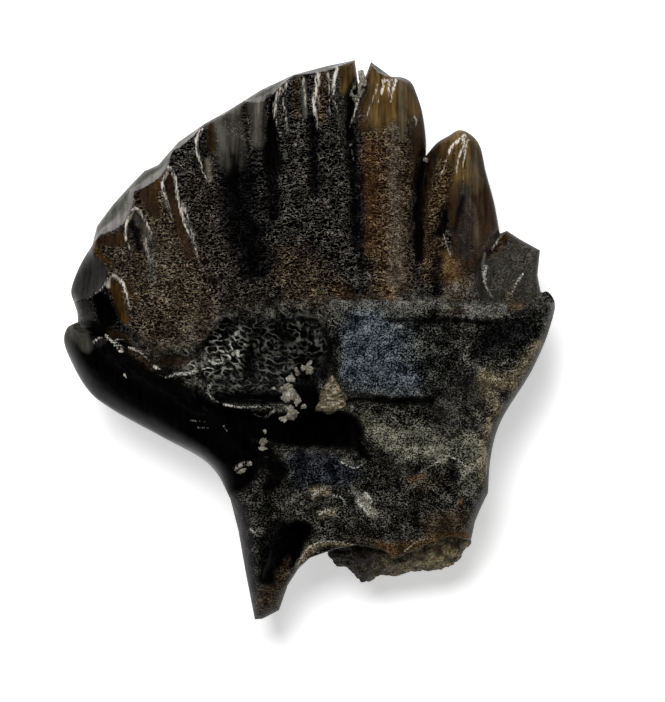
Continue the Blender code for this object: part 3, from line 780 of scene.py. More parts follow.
def waver(x, y):
    """The same place, moved a little, so that no form runs quite straight."""
    return (
        x + WAVER * (np.sin(2.1 * y + 0.8) + 0.6 * np.sin(4.3 * y + 1.9 * x)),
        y + WAVER * (np.sin(2.4 * x + 2.2) + 0.6 * np.sin(4.1 * x - 1.7 * y)),
    )


def lumps(x, y, size, seed, octaves=2):
    """Natural unevenness, about -1 to 1, of the given size."""
    places = zip(x / size, y / size)
    return np.array([noise.fractal((a, b, seed), 1.0, 2.0, octaves) for a, b in places])


def network(x, y):
    """A field that is 0 along the crooked veins of the pit and about -1 or 1 between them."""
    across, lengthways = NETWORK_STRETCH
    return lumps(x * across, y * lengthways, NETWORK_CELL, 3.0)


def in_network(x, y, border):
    """1 on the network of veins and 0 outside it, with a border of the given width."""

    def form(distance, *_):
        return np.clip((NETWORK_REACH - distance) / border, 0, 1)

    return along(x, y, NETWORK, NETWORK_REACH, form)


def on_root(x, y, border):
    """1 on the root and 0 on the enamel, with a border of the given width."""

    def form(distance, _, side):
        return np.clip(0.5 - side * distance / border, 0, 1)

    return along(x, y, ROOT_TOP, ROOT_TOP_REACH, form)


def worn(x, y, z, outer, inner, foot):
    """Flatten the band between two lines to a slope that ends at its foot height."""
    box = np.array([*outer, *inner])
    low, high = box.min(axis=0) - FLAT_MARGIN, box.max(axis=0) + FLAT_MARGIN
    close = (x > low[0]) & (x < high[0]) & (y > low[1]) & (y < high[1])
    from_outer, _, _ = follow(x[close], y[close], np.array(outer))
    from_inner, _, side = follow(x[close], y[close], np.array(inner))
    share = np.where(side > 0, from_outer / (from_outer + from_inner + 1e-6), 1)
    z = z.copy()
    z[close] = np.where(side > 0, foot + (z[close] - foot) * share, z[close])
    return z


def cut_face(x, y, z):
    """Cut the fourth denticle down to its broken face."""

    def form(distance, _, side):
        return np.where(side > 0, 0.001, distance * BROKEN_WALL)

    wall = along(x, y, BROKEN_LEFT, BROKEN_REACH, form)
    face = (x > BROKEN_CORNER[0]) & (y > BROKEN_CORNER[1]) & (wall > 0)
    return np.where(face, np.minimum(z, BROKEN_HEIGHT + wall), z)


def front(x, y):
    """Height of the side that is seen."""
    z = body(x, y, FRONT_HEIGHTS, 1)
    margin = x, y
    x, y = waver(x, y)
    for form in RIDGES.values():
        z += ridge(x, y, *form)
    for form in LEDGES.values():
        z -= ledge(x, y, *form)
    for form in HOLLOWS.values():
        z -= ridge(x, y, *form)
    for form in GROOVES.values():
        z -= groove(x, y, *form)
    for path, half_width, height, _ in CRESTS.values():
        z += ridge(x, y, path, (half_width, half_width), (height, height))
    root = on_root(*margin, ROOT_TOP_WIDTH)
    for size, height in UNEVEN:
        z += lumps(x, y, size, size) * height * between((ENAMEL_UNEVEN, 1), root)
    pitted = in_network(x, y, NETWORK_BORDER)
    inside = pitted > 0
    vein = 1 - abs(network(x[inside], y[inside])) / VEIN_FOOT
    z[inside] += VEIN_HEIGHT * pitted[inside] * np.clip(vein, 0, 1)
    x, y = margin
    for outer, inner, foot in WORN_FLATS.values():
        z = worn(x, y, z, outer, inner, foot)
    return cut_face(x, y, z)


def back(x, y):
    """Height of the side that it lies on."""
    z = body(x, y, BACK_HEIGHTS, -1)
    for form in BACK_RIDGES.values():
        z -= ridge(x, y, *form)
    for form in BACK_GROOVES.values():
        z += groove(x, y, *form)
    size, height = UNEVEN_BACK
    return z + lumps(x, y, size, 7.0, 4) * height


def edge(distance, radius):
    """Rounded share of the full height at a distance in from the rim."""
    u = np.clip(distance / radius, 0, 1)
    return np.sqrt(1 - (1 - u) ** 2)


def rim_at(x, y, rim_points, rims):
    """Distance from the outline, and the rim values there, within the widest rounding."""
    closed = np.vstack([rim_points, rim_points[:1]])
    values = np.vstack([rims, rims[:1]])
    reach = rims[:, 1:].max()
    distance = np.full_like(x, reach)
    found = np.tile(rims[0], (len(x), 1))
    for start in range(0, AROUND, RIM_RUN):
        run = slice(start, start + RIM_RUN + 1)
        piece = closed[run]
        low, high = piece.min(axis=0) - reach, piece.max(axis=0) + reach
        close = np.flatnonzero((x > low[0]) & (x < high[0]) & (y > low[1]) & (y < high[1]))
        near, share, _ = follow(x[close], y[close], piece)
        better = near < distance[close]
        close = close[better]
        distance[close] = near[better]
        steps = travelled(piece)
        at = share[better] * steps[-1]
        for column in range(3):
            found[close, column] = np.interp(at, steps, values[run, column])
    return distance, found


def moulded_side(bm, rim_points, rims, surface, round_column):
    """One side of the tooth: a square grid moulded to the outline and to that side's heights."""
    verts = bmesh.ops.create_grid(bm, x_segments=SIDE_CELLS, y_segments=SIDE_CELLS, size=1)["verts"]
    u, v = np.array([vert.co[:2] for vert in verts]).T
    ring = np.maximum(np.abs(u), np.abs(v))
    a, b = u / np.maximum(ring, 1e-9), v / np.maximum(ring, 1e-9)
    full = 0.999999  # a corner's place on the grid, but for rounding
    along_top = (b > full) & (a > -full)
    along_right = (a > full) & ~along_top
    along_foot = (b < -full) & (a > -full) & ~along_right
    eighths = np.select([along_top, along_right, along_foot], [3 + a, 5 - b, 7 - a], 1 + b)
    turn = eighths / 8 * AROUND
    whole = np.floor(turn + 1e-6).astype(int)
    part = np.clip(turn - whole, 0, 1)[:, None]
    border = rim_points[whole % AROUND] * (1 - part) + rim_points[(whole + 1) % AROUND] * part
    out = 1 - (1 - np.minimum(ring, 1)) ** RIM_CROWDING
    x = HEART[0] + out * (border[:, 0] - HEART[0])
    y = HEART[1] + out * (border[:, 1] - HEART[1])
    distance, found = rim_at(x, y, rim_points, rims)
    at_rim = ring > full
    distance[at_rim] = 0
    found[at_rim] = rims[np.round(turn[at_rim]).astype(int) % AROUND]
    rim = found[:, 0]
    z = np.maximum(rim + (surface(x, y) - rim) * edge(distance, found[:, round_column]), 0)
    for vert, *place in zip(verts, x, y, z):
        vert.co = [value * MM for value in place]
    return verts


def tooth_form():
    """Both sides, joined round the outline."""
    rim_points, rims = outline()
    bm = bmesh.new()
    moulded_side(bm, rim_points, rims, back, 2)
    bmesh.ops.reverse_faces(bm, faces=bm.faces)
    moulded_side(bm, rim_points, rims, front, 1)
    bmesh.ops.remove_doubles(bm, verts=bm.verts, dist=JOIN * MM)
    return bm


tooth = add_mesh("fossil_tooth", tooth_form())
facing = np.empty(len(tooth.data.vertices) * 3)
tooth.data.vertices.foreach_get("normal", facing)
behind = np.flatnonzero(facing[2::3] < BACK_FACING)
tooth.vertex_groups.new(name="back").add([int(n) for n in behind], 1.0, "REPLACE")
fewer = tooth.modifiers.new("fewer_facets", "DECIMATE")
fewer.vertex_group = "back"
fewer.ratio = TOOTH_FACES / (2 * len(tooth.data.polygons))
fewer.use_collapse_triangulate = True
with bpy.context.temp_override(object=tooth, active_object=tooth, selected_objects=[tooth]):
    bpy.ops.object.modifier_apply(modifier=fewer.name)

# The colours of the fossil, as soft light shows them: ground, flecks, how strong the flecks are,
# how rough the surface is, and whether its grain is the enamel's (0) or the root's (1). On the
# enamel the flecks are its pale grain and also the painted sparkle of light on it.
TONES = {
    "black_enamel": ((2, 2, 2), (118, 113, 106), 0.5, 0.27, 0),
    # Dark enamel; the same tone also paints the shade in flutes, clefts and hollows
    "deep_enamel_and_shade": ((1, 1, 2), (72, 71, 70), 0.2, 0.25, 0),
    "brown_enamel": ((19, 13, 8), (138, 124, 104), 0.6, 0.3, 0),
    "dusky_enamel": ((7, 5, 4), (112, 104, 94), 0.48, 0.3, 0),
    "umber_enamel": ((15, 9, 5), (128, 110, 84), 0.6, 0.3, 0),
    "amber_enamel": ((30, 17, 7), (150, 125, 94), 0.72, 0.3, 0),
    "red_enamel": ((28, 17, 8), (118, 90, 60), 0.55, 0.3, 0),
    "smooth_brown": ((40, 28, 17), (80, 64, 46), 0.2, 0.26, 0),
    "honey": ((60, 41, 17), (104, 78, 38), 0.15, 0.26, 0),
    "olive_tip": ((84, 66, 36), (104, 86, 56), 0.1, 0.24, 0),
    # A painted grey reflection of the light on smooth enamel
    "grey_reflection": ((80, 77, 69), (100, 98, 92), 0.25, 0.3, 0),
    # A painted grey sheen on the denticles' smooth faces
    "grey_sheen": ((78, 68, 53), (104, 94, 78), 0.2, 0.28, 0),
    # Glossy black enamel; the same tone also paints the shade in clefts, hollows and under ledges
    "jet_and_shade": ((2, 2, 2), (30, 30, 30), 0.08, 0.16, 0),
    "matte_black": ((2, 2, 2), (60, 62, 62), 0.3, 0.3, 1),
    # The worn flats' greys: the wear's own tone with a painted sheen over it
    "worn_outer_sheen": ((72, 73, 67), (90, 92, 84), 0.6, 0.26, 0),
    "worn_inner_sheen": ((104, 101, 99), (120, 117, 115), 0.6, 0.26, 0),
    "dusk_gloss": ((38, 34, 30), (84, 78, 71), 0.4, 0.28, 0),
    "worn_low": ((31, 30, 29), (70, 68, 66), 0.12, 0.28, 0),
    "broken_face": ((40, 38, 35), (84, 81, 75), 0.62, 0.35, 1),
    "blue_bone": ((8, 11, 16), (114, 123, 130), 0.58, 0.4, 1),
    # The root's dark bone; the same tone also paints the shadow under the upper panel's ledge
    "dark_bone_and_shade": ((3, 3, 3), (124, 122, 112), 0.4, 0.38, 1),
    "specked_bone": ((2, 2, 2), (112, 112, 106), 0.36, 0.38, 1),
    "smooth_bone": ((14, 13, 12), (88, 86, 82), 0.45, 0.36, 1),
    "slate_bone": ((3, 4, 7), (88, 92, 100), 0.38, 0.36, 1),
    "olive_bone": ((18, 18, 13), (138, 136, 119), 0.7, 0.45, 1),
    # A painted speckled highlight, round the crests' glints and along edges that face the light
    "speckled_sheen": ((14, 13, 12), (140, 138, 130), 0.7, 0.36, 0.6),
    "tan": ((54, 47, 34), (168, 154, 126), 0.7, 0.6, 1),
    "pale": ((90, 86, 74), (200, 194, 176), 0.7, 0.6, 1),
    "rust": ((44, 29, 12), (128, 98, 60), 0.6, 0.45, 1),
    "rust_dark": ((20, 14, 8), (98, 79, 55), 0.55, 0.42, 1),
    "purple_bone": ((13, 12, 13), (62, 58, 60), 0.4, 0.36, 1),
    "wrinkled_bone": ((22, 16, 10), (104, 86, 66), 0.7, 0.36, 0),
    # A painted pale highlight on a crest
    "crest": ((150, 142, 124), (190, 182, 166), 0.4, 0.35, 0),
    "hair_crack": ((3, 3, 3), (12, 12, 12), 0.1, 0.4, 0),
}

# Where each tone lies, from the broad grounds to the small marks: a line, its half width at its
# start and its end, how soft its border is, and how fully it covers what is under it. Some paint
# light
# and shade instead: sheens and highlights on lit parts, and shade in clefts, hollows and under
# ledges.
STAINS = (
    ("dusky_enamel", ((-3.13, 4.5), (-2.83, 2.4), (-2.53, 1.2)), (0.9, 1.2), 0.7, 0.9),
    ("brown_enamel", ((-4.79, 3.75), (-4.12, 2.1), (-3.82, 0.45)), (1.02, 1.5), 0.5, 0.95),
    ("brown_enamel", ((-6.17, 2.82), (-5.44, 1.8), (-4.79, 0.6)), (0.66, 0.78), 0.6, 0.8),
    ("umber_enamel", ((-0.58, 2.16), (0.07, 1.5)), (1.08, 1.2), 0.7, 0.75),
    ("umber_enamel", ((-3.94, 1.2), (-3.1, 0.66)), (0.78, 0.6), 0.8, 0.4),
    ("dusky_enamel", ((-2.38, 1.65), (-1.43, 1.32)), (0.6, 0.48), 0.7, 0.7),
    ("red_enamel", ((0.91, 1.5), (1.27, 1.2)), (0.36, 0.3), 0.8, 0.7),
    # Dark enamel down the middle of the crown, and painted shade along the flutes and the first
    # cleft
    ("deep_enamel_and_shade", ((-2.15, 5.25), (-2.08, 3.75), (-1.6, 2.34)), (0.9, 0.9), 0.8, 0.95),
    ("deep_enamel_and_shade", ((0.1, 6.66), (0.16, 4.44)), (0.24, 0.24), 0.8, 1.0),
    ("deep_enamel_and_shade", ((-1.19, 5.7), (-1.06, 3.75)), (0.36, 0.3), 0.7, 1.0),
    ("deep_enamel_and_shade", ((1.27, 6.12), (1.43, 2.7)), (0.18, 0.21), 0.8, 0.9),
    # Painted speckled highlights beside the crests' glints
    ("speckled_sheen", ((-0.89, 7.26), (-0.7, 6.12)), (0.15, 0.24), 0.9, 0.6),
    ("speckled_sheen", ((0.85, 7.8), (0.97, 6.6)), (0.15, 0.24), 0.9, 0.3),
    # Painted grey reflection on the smooth top of the crown
    ("grey_reflection", ((-2.5, 6.84), (-2.38, 5.52)), (0.78, 0.66), 1.0, 0.5),
    ("grey_reflection", ((-2.75, 6.54), (-2.5, 5.76)), (0.36, 0.27), 1.0, 0.9),
    ("grey_reflection", ((-2.69, 6.6), (-2.15, 6.96)), (0.3, 0.3), 0.9, 0.7),
    ("smooth_brown", ((-2.96, 6.48), (-2.9, 5.7)), (0.18, 0.18), 0.7, 0.9),
    # Painted grey reflection
    ("grey_reflection", ((-1.57, 7.08), (-1.54, 5.94)), (0.36, 0.27), 0.9, 0.95),
    # Painted shade down the flutes
    ("dusky_enamel", ((-1.91, 7.08), (-1.88, 6)), (0.12, 0.18), 0.7, 0.8),
    ("jet_and_shade", ((-1.09, 7.26), (-1.12, 6.06), (-1.06, 5.4)), (0.09, 0.36), 0.6, 0.95),
    ("jet_and_shade", ((-2.27, 5.46), (-2.27, 4.56)), (0.18, 0.24), 0.8, 0.9),
    ("black_enamel", ((-0.77, 7.32), (-0.65, 6)), (0.24, 0.42), 0.5, 0.9),
    ("umber_enamel", ((-0.4, 7.8), (-0.38, 6.72)), (0.15, 0.15), 0.7, 0.8),
    # Painted grey reflection beside a crest
    ("grey_reflection", ((-0.16, 7.74), (-0.14, 6.72)), (0.1, 0.1), 0.7, 0.8),
    ("umber_enamel", ((0.4, 7.92), (0.38, 6.6)), (0.18, 0.21), 0.7, 0.9),
    ("olive_tip", ((1.21, 8.28), (1.09, 7.5)), (0.42, 0.27), 0.8, 0.95),
    ("honey", ((-4.54, 4.86), (-4.67, 4.2)), (0.24, 0.18), 0.8, 0.6),
    ("smooth_brown", ((-4.91, 4.38), (-4.6, 3.84)), (0.33, 0.27), 0.7, 0.9),
    (
        "smooth_brown",
        ((-4.18, 4.89), (-4.09, 4.2), (-3.82, 3.3), (-3.58, 2.52)),
        (0.16, 0.18), 0.6, 0.8,
    ),
    ("umber_enamel", ((-5.14, 2.7), (-4.91, 1.68)), (0.18, 0.24), 0.7, 0.8),
    # Painted shade on the first arch's wall that faces away from the light
    ("deep_enamel_and_shade", ((-5.26, 3.54), (-5.21, 3.18), (-5.12, 2.76)), (0.14, 0.16), 0.6, 0.9),
    ("brown_enamel", ((-5.02, 3.42), (-4.81, 2.46)), (0.18, 0.18), 0.7, 0.8),
    # Painted speckled highlight inside the first arch's right rim
    ("speckled_sheen", ((-4.81, 3.06), (-4.67, 1.92)), (0.3, 0.27), 1.0, 0.9),
    # Painted grey reflection at the top of the first arch
    ("grey_reflection", ((-5.17, 3.78), (-4.84, 3.12)), (0.21, 0.18), 0.9, 0.6),
    # Painted speckled highlight along the second arch
    ("speckled_sheen", ((-3.65, 3.54), (-3.4, 2.7)), (0.15, 0.18), 0.9, 0.5),
    # Painted pale highlight on the third arch's rim
    ("crest", ((-3.04, 5.4), (-3.01, 4.8)), (0.12, 0.1), 0.9, 0.35),
    ("smooth_brown", ((-6.34, 3), (-5.62, 3)), (0.27, 0.27), 0.7, 0.9),
    ("honey", ((-5.71, 3.24), (-5.62, 2.82)), (0.09, 0.09), 0.8, 0.5),
    ("honey", ((-6.5, 2.82), (-6.29, 2.55), (-5.92, 2.28)), (0.15, 0.12), 0.8, 0.6),
    ("honey", ((-5.47, 1.68), (-5.14, 1.14)), (0.18, 0.15), 0.8, 0.35),
    ("honey", ((-5.83, 1.65), (-5.71, 1.2), (-5.5, 0.63)), (0.21, 0.16), 0.6, 0.95),
    ("jet_and_shade", ((-6.25, 1.2), (-6.01, 0.66)), (0.28, 0.33), 0.4, 1.0),
    ("worn_low", ((-6.73, 1.02), (-6.58, 0.6)), (0.22, 0.18), 0.5, 0.8),
    ("smooth_brown", ((2.77, 7.8), (3.31, 6.9), (3.49, 5.7), (3.44, 2.7)), (0.42, 0.27), 0.7, 0.95),
    ("olive_tip", ((2.27, 8.34), (2.29, 6.78)), (1.02, 0.96), 0.9, 1.0),
    ("olive_tip", ((2.83, 7.68), (3.13, 6.84)), (0.36, 0.3), 1.0, 0.7),
    ("red_enamel", ((1.88, 5.7), (1.88, 2.7)), (0.48, 0.51), 1.0, 0.95),
    ("amber_enamel", ((2.48, 5.82), (2.53, 3), (2.42, 1.44)), (0.9, 0.9), 0.9, 0.85),
    ("red_enamel", ((1.75, 6), (1.88, 4.2)), (0.3, 0.36), 0.8, 0.8),
    # Painted grey sheen down the second denticle's right side
    ("grey_sheen", ((2.83, 7.74), (2.77, 6.84), (2.77, 6.06)), (0.21, 0.18), 0.8, 0.75),
    ("honey", ((2.35, 7.32), (2.29, 6.72)), (0.24, 0.24), 0.9, 0.4),
    ("honey", ((1.69, 7.5), (1.57, 6.3)), (0.15, 0.18), 0.9, 0.3),
    # Painted shade at the foot of the first cleft
    ("deep_enamel_and_shade", ((1.54, 5.1), (1.57, 1.5)), (0.15, 0.15), 0.8, 0.5),
    ("smooth_brown", ((4.58, 6), (4.81, 4.2), (5, 2.7)), (1.08, 0.78), 0.35, 1.0),
    ("olive_tip", ((4.48, 6.18), (4.69, 4.92)), (0.96, 0.78), 0.9, 1.0),
    ("umber_enamel", ((4.04, 5.1), (3.67, 3.54), (3.73, 2.04)), (0.42, 0.54), 0.5, 0.95),
    ("amber_enamel", ((4.06, 5.16), (3.79, 4.08)), (0.42, 0.36), 1.0, 0.8),
    # Painted grey sheen on the third denticle
    ("grey_sheen", ((4.93, 5.4), (4.93, 4.62)), (0.33, 0.39), 0.8, 0.5),
    ("dusk_gloss", ((4.63, 4.5), (4.75, 3.6), (4.72, 2.7)), (0.36, 0.66), 1.0, 1.0),
    # Painted shade in the third denticle's hollow
    ("deep_enamel_and_shade", ((4.6, 4.26), (4.48, 3.9), (4.33, 3.24)), (0.15, 0.15), 1.0, 0.9),
    # Painted grey sheen down the third denticle's right side
    ("grey_sheen", ((4.84, 4.2), (4.96, 3.54), (5.02, 2.88)), (0.12, 0.18), 1.0, 0.5),
    ("grey_sheen", ((5.02, 4.92), (5.17, 3.78)), (0.12, 0.12), 1.0, 0.3),
    ("smooth_brown", ((5.17, 5.4), (5.42, 4.32), (5.59, 3.3)), (0.21, 0.24), 0.7, 0.8),
    ("smooth_brown", ((3.13, 6.36), (3.17, 4.86)), (0.24, 0.21), 1.0, 0.85),
    # Painted speckled highlight down the second denticle's ridge
    ("speckled_sheen", ((2.48, 6.42), (2.59, 4.2), (2.59, 1.8)), (0.27, 0.42), 0.8, 0.42),
    # Painted shade in the third denticle's crevice
    ("jet_and_shade", ((4.09, 3.84), (3.94, 3.18)), (0.12, 0.15), 0.6, 0.9),
    ("rust", ((4.12, 2.52), (4.39, 1.62)), (0.33, 0.66), 0.8, 0.85),
    # Painted speckled highlight along the crown's foot
    ("speckled_sheen", ((4.27, 1.5), (5.29, 1.56)), (0.36, 0.36), 0.7, 0.6),
    # Painted shade in the clefts between the denticles
    ("jet_and_shade", ((1.24, 7.56), (1.21, 6.12)), (0.18, 0.15), 0.6, 0.95),
    ("jet_and_shade", ((3.46, 5.34), (3.28, 4.05), (3.25, 2.46)), (0.18, 0.18), 0.6, 0.9),
    # Painted shade at the foot of the second cleft
    ("deep_enamel_and_shade", ((3.82, 2.34), (3.79, 1.32)), (0.27, 0.15), 0.7, 0.7),
    ("broken_face", ((6.19, 2.34), (6.13, 1.74)), (1.2, 1.08), 0.2, 1.0),
    ("umber_enamel", ((5.44, 2.64), (5.77, 3)), (0.24, 0.24), 0.7, 0.9),
    ("honey", ((5.77, 3), (5.96, 3.18)), (0.09, 0.09), 0.8, 0.6),
    ("smooth_brown", ((6.08, 3.18), (6.79, 2.82)), (0.09, 0.09), 0.8, 0.6),
    ("tan", ((6.1, 1.62), (5.98, 1.26)), (0.12, 0.18), 0.8, 0.35),
)
ROOT_STAINS = (
    # Painted speckled highlight along the shoulder at the crown's foot
    ("speckled_sheen", ((0.79, 0.96), (2.71, 0.93), (5.71, 0.9)), (0.3, 0.27), 0.4, 0.9),
    ("rust_dark", ((4.16, 0.93), (4.51, 0.87)), (0.27, 0.27), 0.8, 0.7),
    ("rust", ((6.08, 0.99), (6.31, 1.02)), (0.21, 0.18), 0.7, 0.6),
    ("blue_bone", ((1.75, 0.12), (1.88, -0.36)), (1.2, 1.32), 0.6, 1.0),
    ("blue_bone", ((1.51, -0.96), (3.07, -1.29)), (0.72, 0.51), 0.35, 0.95),
    ("blue_bone", ((2.83, 0.3), (3.31, -0.96)), (0.66, 0.6), 1.0, 0.5),
    # Painted speckled highlight along the upper panel's lower edge
    ("speckled_sheen", ((1.27, -1.32), (2.23, -1.56), (3.25, -1.5)), (0.21, 0.21), 1.0, 0.35),
    ("specked_bone", ((3.61, 0.54), (3.92, -0.3), (3.92, -1.32)), (0.66, 0.84), 0.6, 0.9),
    ("matte_black", ((6.31, 0.3), (5.29, -0.12)), (0.9, 0.72), 0.7, 0.9),
    ("tan", ((7.09, 0.45), (6.73, -0.36)), (0.12, 0.12), 0.9, 0.4),
    # Painted shadow under the shoulder at the crown's foot
    ("jet_and_shade", ((2.48, 0.6), (5.71, 0.54)), (0.12, 0.12), 1.0, 0.4),
    ("smooth_bone", ((5.05, -1.2), (4.16, -2.1), (4.21, -2.7)), (0.72, 0.6), 0.6, 0.9),
    # Painted shadow under the upper panel's ledge
    ("dark_bone_and_shade", ((1.21, -1.92), (3.31, -1.92)), (0.3, 0.3), 0.6, 0.8),
    ("jet_and_shade", ((1.06, -1.77), (2.71, -1.83), (3.61, -1.8)), (0.18, 0.15), 1.0, 0.7),
    ("olive_bone", ((1.69, -2.52), (2.65, -3.18), (3.92, -3.42)), (0.48, 0.42), 0.6, 1.0),
    ("olive_bone", ((2.59, -2.7), (4.81, -3.06)), (0.48, 0.42), 0.9, 0.7),
    ("olive_bone", ((4.81, -3), (4.93, -3.6)), (0.42, 0.42), 0.6, 0.9),
    ("tan", ((5.23, -1.14), (5.89, -1.26)), (0.39, 0.39), 0.8, 0.9),
    ("tan", ((6.79, -0.18), (6.08, -1.32)), (0.27, 0.36), 0.9, 0.75),
    ("tan", ((5.65, -1.98), (5.23, -3), (5.23, -4.2)), (0.24, 0.27), 0.9, 0.7),
    ("tan", ((5.29, -1.56), (5.54, -1.92)), (0.45, 0.33), 1.0, 0.6),
    ("olive_bone", ((4.58, -3.3), (4.81, -4.44)), (0.48, 0.42), 1.0, 0.7),
    ("olive_bone", ((4.27, -2.22), (5, -2.4)), (0.42, 0.36), 1.0, 0.5),
    # Painted shadow under the upper panel's ledge
    ("dark_bone_and_shade", ((2.11, -2.13), (3.13, -2.16)), (0.33, 0.27), 1.0, 0.7),
    ("brown_enamel", ((-4.84, 0.12), (-4.37, -0.3)), (0.48, 0.36), 1.0, 0.8),
    # Painted speckled highlight along the crown's foot
    ("speckled_sheen", ((2.83, 1.29), (3.92, 1.11)), (0.39, 0.3), 1.0, 0.8),
    ("dark_bone_and_shade", ((-0.89, -4.8), (0.91, -5.4), (3.31, -5.1)), (1.08, 1.02), 0.5, 0.9),
    ("slate_bone", ((-0.28, -3.66), (1.21, -3.84)), (0.6, 0.48), 0.7, 0.9),
    ("slate_bone", ((-0.28, -4.2), (1.06, -4.14)), (0.42, 0.42), 0.7, 0.8),
    ("rust_dark", ((3.31, -4.38), (3.79, -4.2)), (0.36, 0.36), 1.0, 0.5),
    ("rust", ((3.01, -4.2), (3.44, -4.02)), (0.15, 0.12), 0.8, 0.7),
    ("rust", ((4.48, -4.71), (4.48, -4.89)), (0.1, 0.1), 0.6, 0.8),
    ("rust_dark", ((3.61, -5.52), (4.58, -5.4)), (0.48, 0.48), 0.7, 0.8),
    ("rust", ((2.11, -6.18), (2.65, -6.3), (3.92, -5.94), (4.81, -5.94)), (0.33, 0.27), 0.8, 0.8),
    ("rust_dark", ((0.01, -6.24), (1.21, -6), (2.11, -6.06)), (0.24, 0.24), 0.8, 0.45),
    ("tan", ((0.16, -4.56), (0.53, -4.5)), (0.3, 0.24), 0.8, 0.8),
    ("tan", ((0.38, -5.16), (0.7, -5.13)), (0.24, 0.21), 0.8, 0.7),
    ("pale", ((1.57, -4.74), (1.88, -5.19)), (0.27, 0.21), 0.9, 0.6),
    ("pale", ((0.97, -3.54), (1.27, -3.69)), (0.12, 0.09), 0.9, 0.4),
    ("tan", ((-2.38, -3.9), (-2.08, -3.9)), (0.12, 0.12), 0.9, 0.7),
    ("tan", ((-1.96, -3.72), (-1.72, -3.66)), (0.12, 0.09), 0.9, 0.6),
    ("purple_bone", ((-1.99, -5.04), (-1.84, -6.15), (-1.72, -7.35)), (0.27, 0.3), 0.7, 0.9),
    ("jet_and_shade", ((-0.28, -5.7), (-0.67, -6.48), (-1.24, -7.2)), (0.39, 0.33), 0.4, 1.0),
    ("wrinkled_bone", ((-1, -7.2), (-1.36, -7.98)), (0.54, 0.48), 0.6, 0.9),
    ("wrinkled_bone", ((-0.7, -6.6), (-0.82, -7.2)), (0.21, 0.24), 0.8, 0.7),
    ("tan", ((-0.34, -6.78), (-0.16, -6.45), (0.07, -6.27)), (0.15, 0.15), 0.7, 0.7),
    ("tan", ((0.07, -6.18), (0.38, -6.09), (0.94, -6.09), (1.51, -6.18)), (0.08, 0.06), 0.8, 0.8),
    (
        "jet_and_shade",
        ((-6.46, -0.54), (-5.33, -1.56), (-3.58, -2.52), (-2.32, -3.66)),
        (1.26, 1.02), 0.3, 1.0,
    ),
    ("jet_and_shade", ((-5.68, -0.3), (-5.08, -0.78)), (0.42, 0.42), 0.5, 1.0),
    ("umber_enamel", ((-5.33, -0.3), (-4.72, -0.78)), (0.24, 0.27), 1.0, 0.8),
    ("smooth_brown", ((-5.92, 0.18), (-5.44, 0.06)), (0.21, 0.18), 1.0, 0.7),
    # Painted shade in the black hollow under the pit and down the pit's hole
    ("jet_and_shade", ((-2.83, -2.25), (-0.89, -2.64), (1.06, -2.7)), (0.48, 0.66), 0.4, 1.0),
    ("jet_and_shade", ((-0.14, -1.2), (-0.1, -2.7)), (0.45, 0.6), 0.5, 1.0),
    ("jet_and_shade", ((-1.43, -3.36), (-0.89, -3.9), (-1.24, -4.38)), (0.48, 0.3), 0.8, 0.8),
    ("jet_and_shade", ((-2.62, -1.68), (-1.78, -1.71), (-0.94, -1.74)), (0.27, 0.24), 0.6, 0.9),
    ("matte_black", ((-0.94, -5.82), (-1.19, -6.48), (-1.27, -7.14)), (0.57, 0.3), 0.6, 1.0),
    # Painted grey reflection on the left cingulum's rim
    ("grey_reflection", ((-7, 0.3), (-6.64, -0.18)), (0.36, 0.27), 0.7, 0.3),
    ("worn_low", ((-6.31, -0.09), (-6.17, -0.03)), (0.15, 0.12), 0.6, 0.7),
    ("smooth_brown", ((-4.33, -0.66), (-3.58, -0.66)), (0.21, 0.18), 0.8, 0.8),
    ("matte_black", ((-2.21, -0.06), (-1.43, -0.36), (-0.4, -0.3)), (0.78, 1.32), 0.25, 1.0),
    ("matte_black", ((-3.04, -1.02), (-2.08, -1.32), (-1.24, -1.38)), (0.39, 0.33), 0.5, 0.9),
    # Painted shade beside the lower panel's edge
    ("jet_and_shade", ((1.21, -2.94), (1.75, -3.48)), (0.27, 0.21), 0.8, 0.9),
    # Painted shade in the groove under the lobe and down the pit's deep side
    ("jet_and_shade", ((-2.42, 0.6), (-2.86, 0.18), (-3.17, -0.3)), (0.12, 0.1), 0.7, 0.9),
    ("jet_and_shade", ((-0.28, 0.3), (-0.14, -0.9)), (0.42, 0.42), 0.8, 0.9),
)
ROOT_BORDER = 0.3  # width of the change from the enamel's tones to the root's
CROWN_FADE = 0.7  # how much the crown's stains fade on the root
WALL_FADE = 0.45  # how much the root's stains fade on the walls
WALL_WANDER = (1.1, 0.55)  # size and reach of the stains' wandering down the walls
STAIN_WAVER = ((0.45, 0.06), (0.16, 0.03))  # size and reach of the stains' ragged borders
MOTTLE = (0.7, 0.35)  # size and strength of the uneven patches in every tone
GRAIN_PATCHES = (0.5, 0.6)  # the same, of the patches of strong and weak grain

# The painted highlights on the pit's raised veins: the width of their border, how bright they are
# away from the brightest part, where that part is, and the size of the gaps in them
VEIN_BORDER = 0.3
VEIN_DIMNESS = 0.2
BRIGHT_VEINS = (((-3.1, -0.6), (-2.21, -0.18)), (0.9, 0.72), 1.0)
VEIN_GAPS = 0.5

# The flats have a dark outer part, a light inner part that starts at a share of their width and
# blends in over another, and a fine black line along their inner side. Their greys are the wear's
# tone with a painted sheen.
FLAT_REACH = 1.3
FLAT_INNER = (0.55, 0.12)
FLAT_LINE = (0.03, 0.8)  # width and strength

# The painted highlight of a crest: how much wider than the crest it is, how far it spreads beyond
# that, how much thinner and weaker it is at its end, its strength, and what a crest's paleness adds
# to it
SHINE_WIDTH = 1.3
SHINE_SPREAD = 0.075
SHINE_TAPER = 0.4
SHINE_FADE = 0.35
SHINE_STRENGTH = (0.65, 0.47)


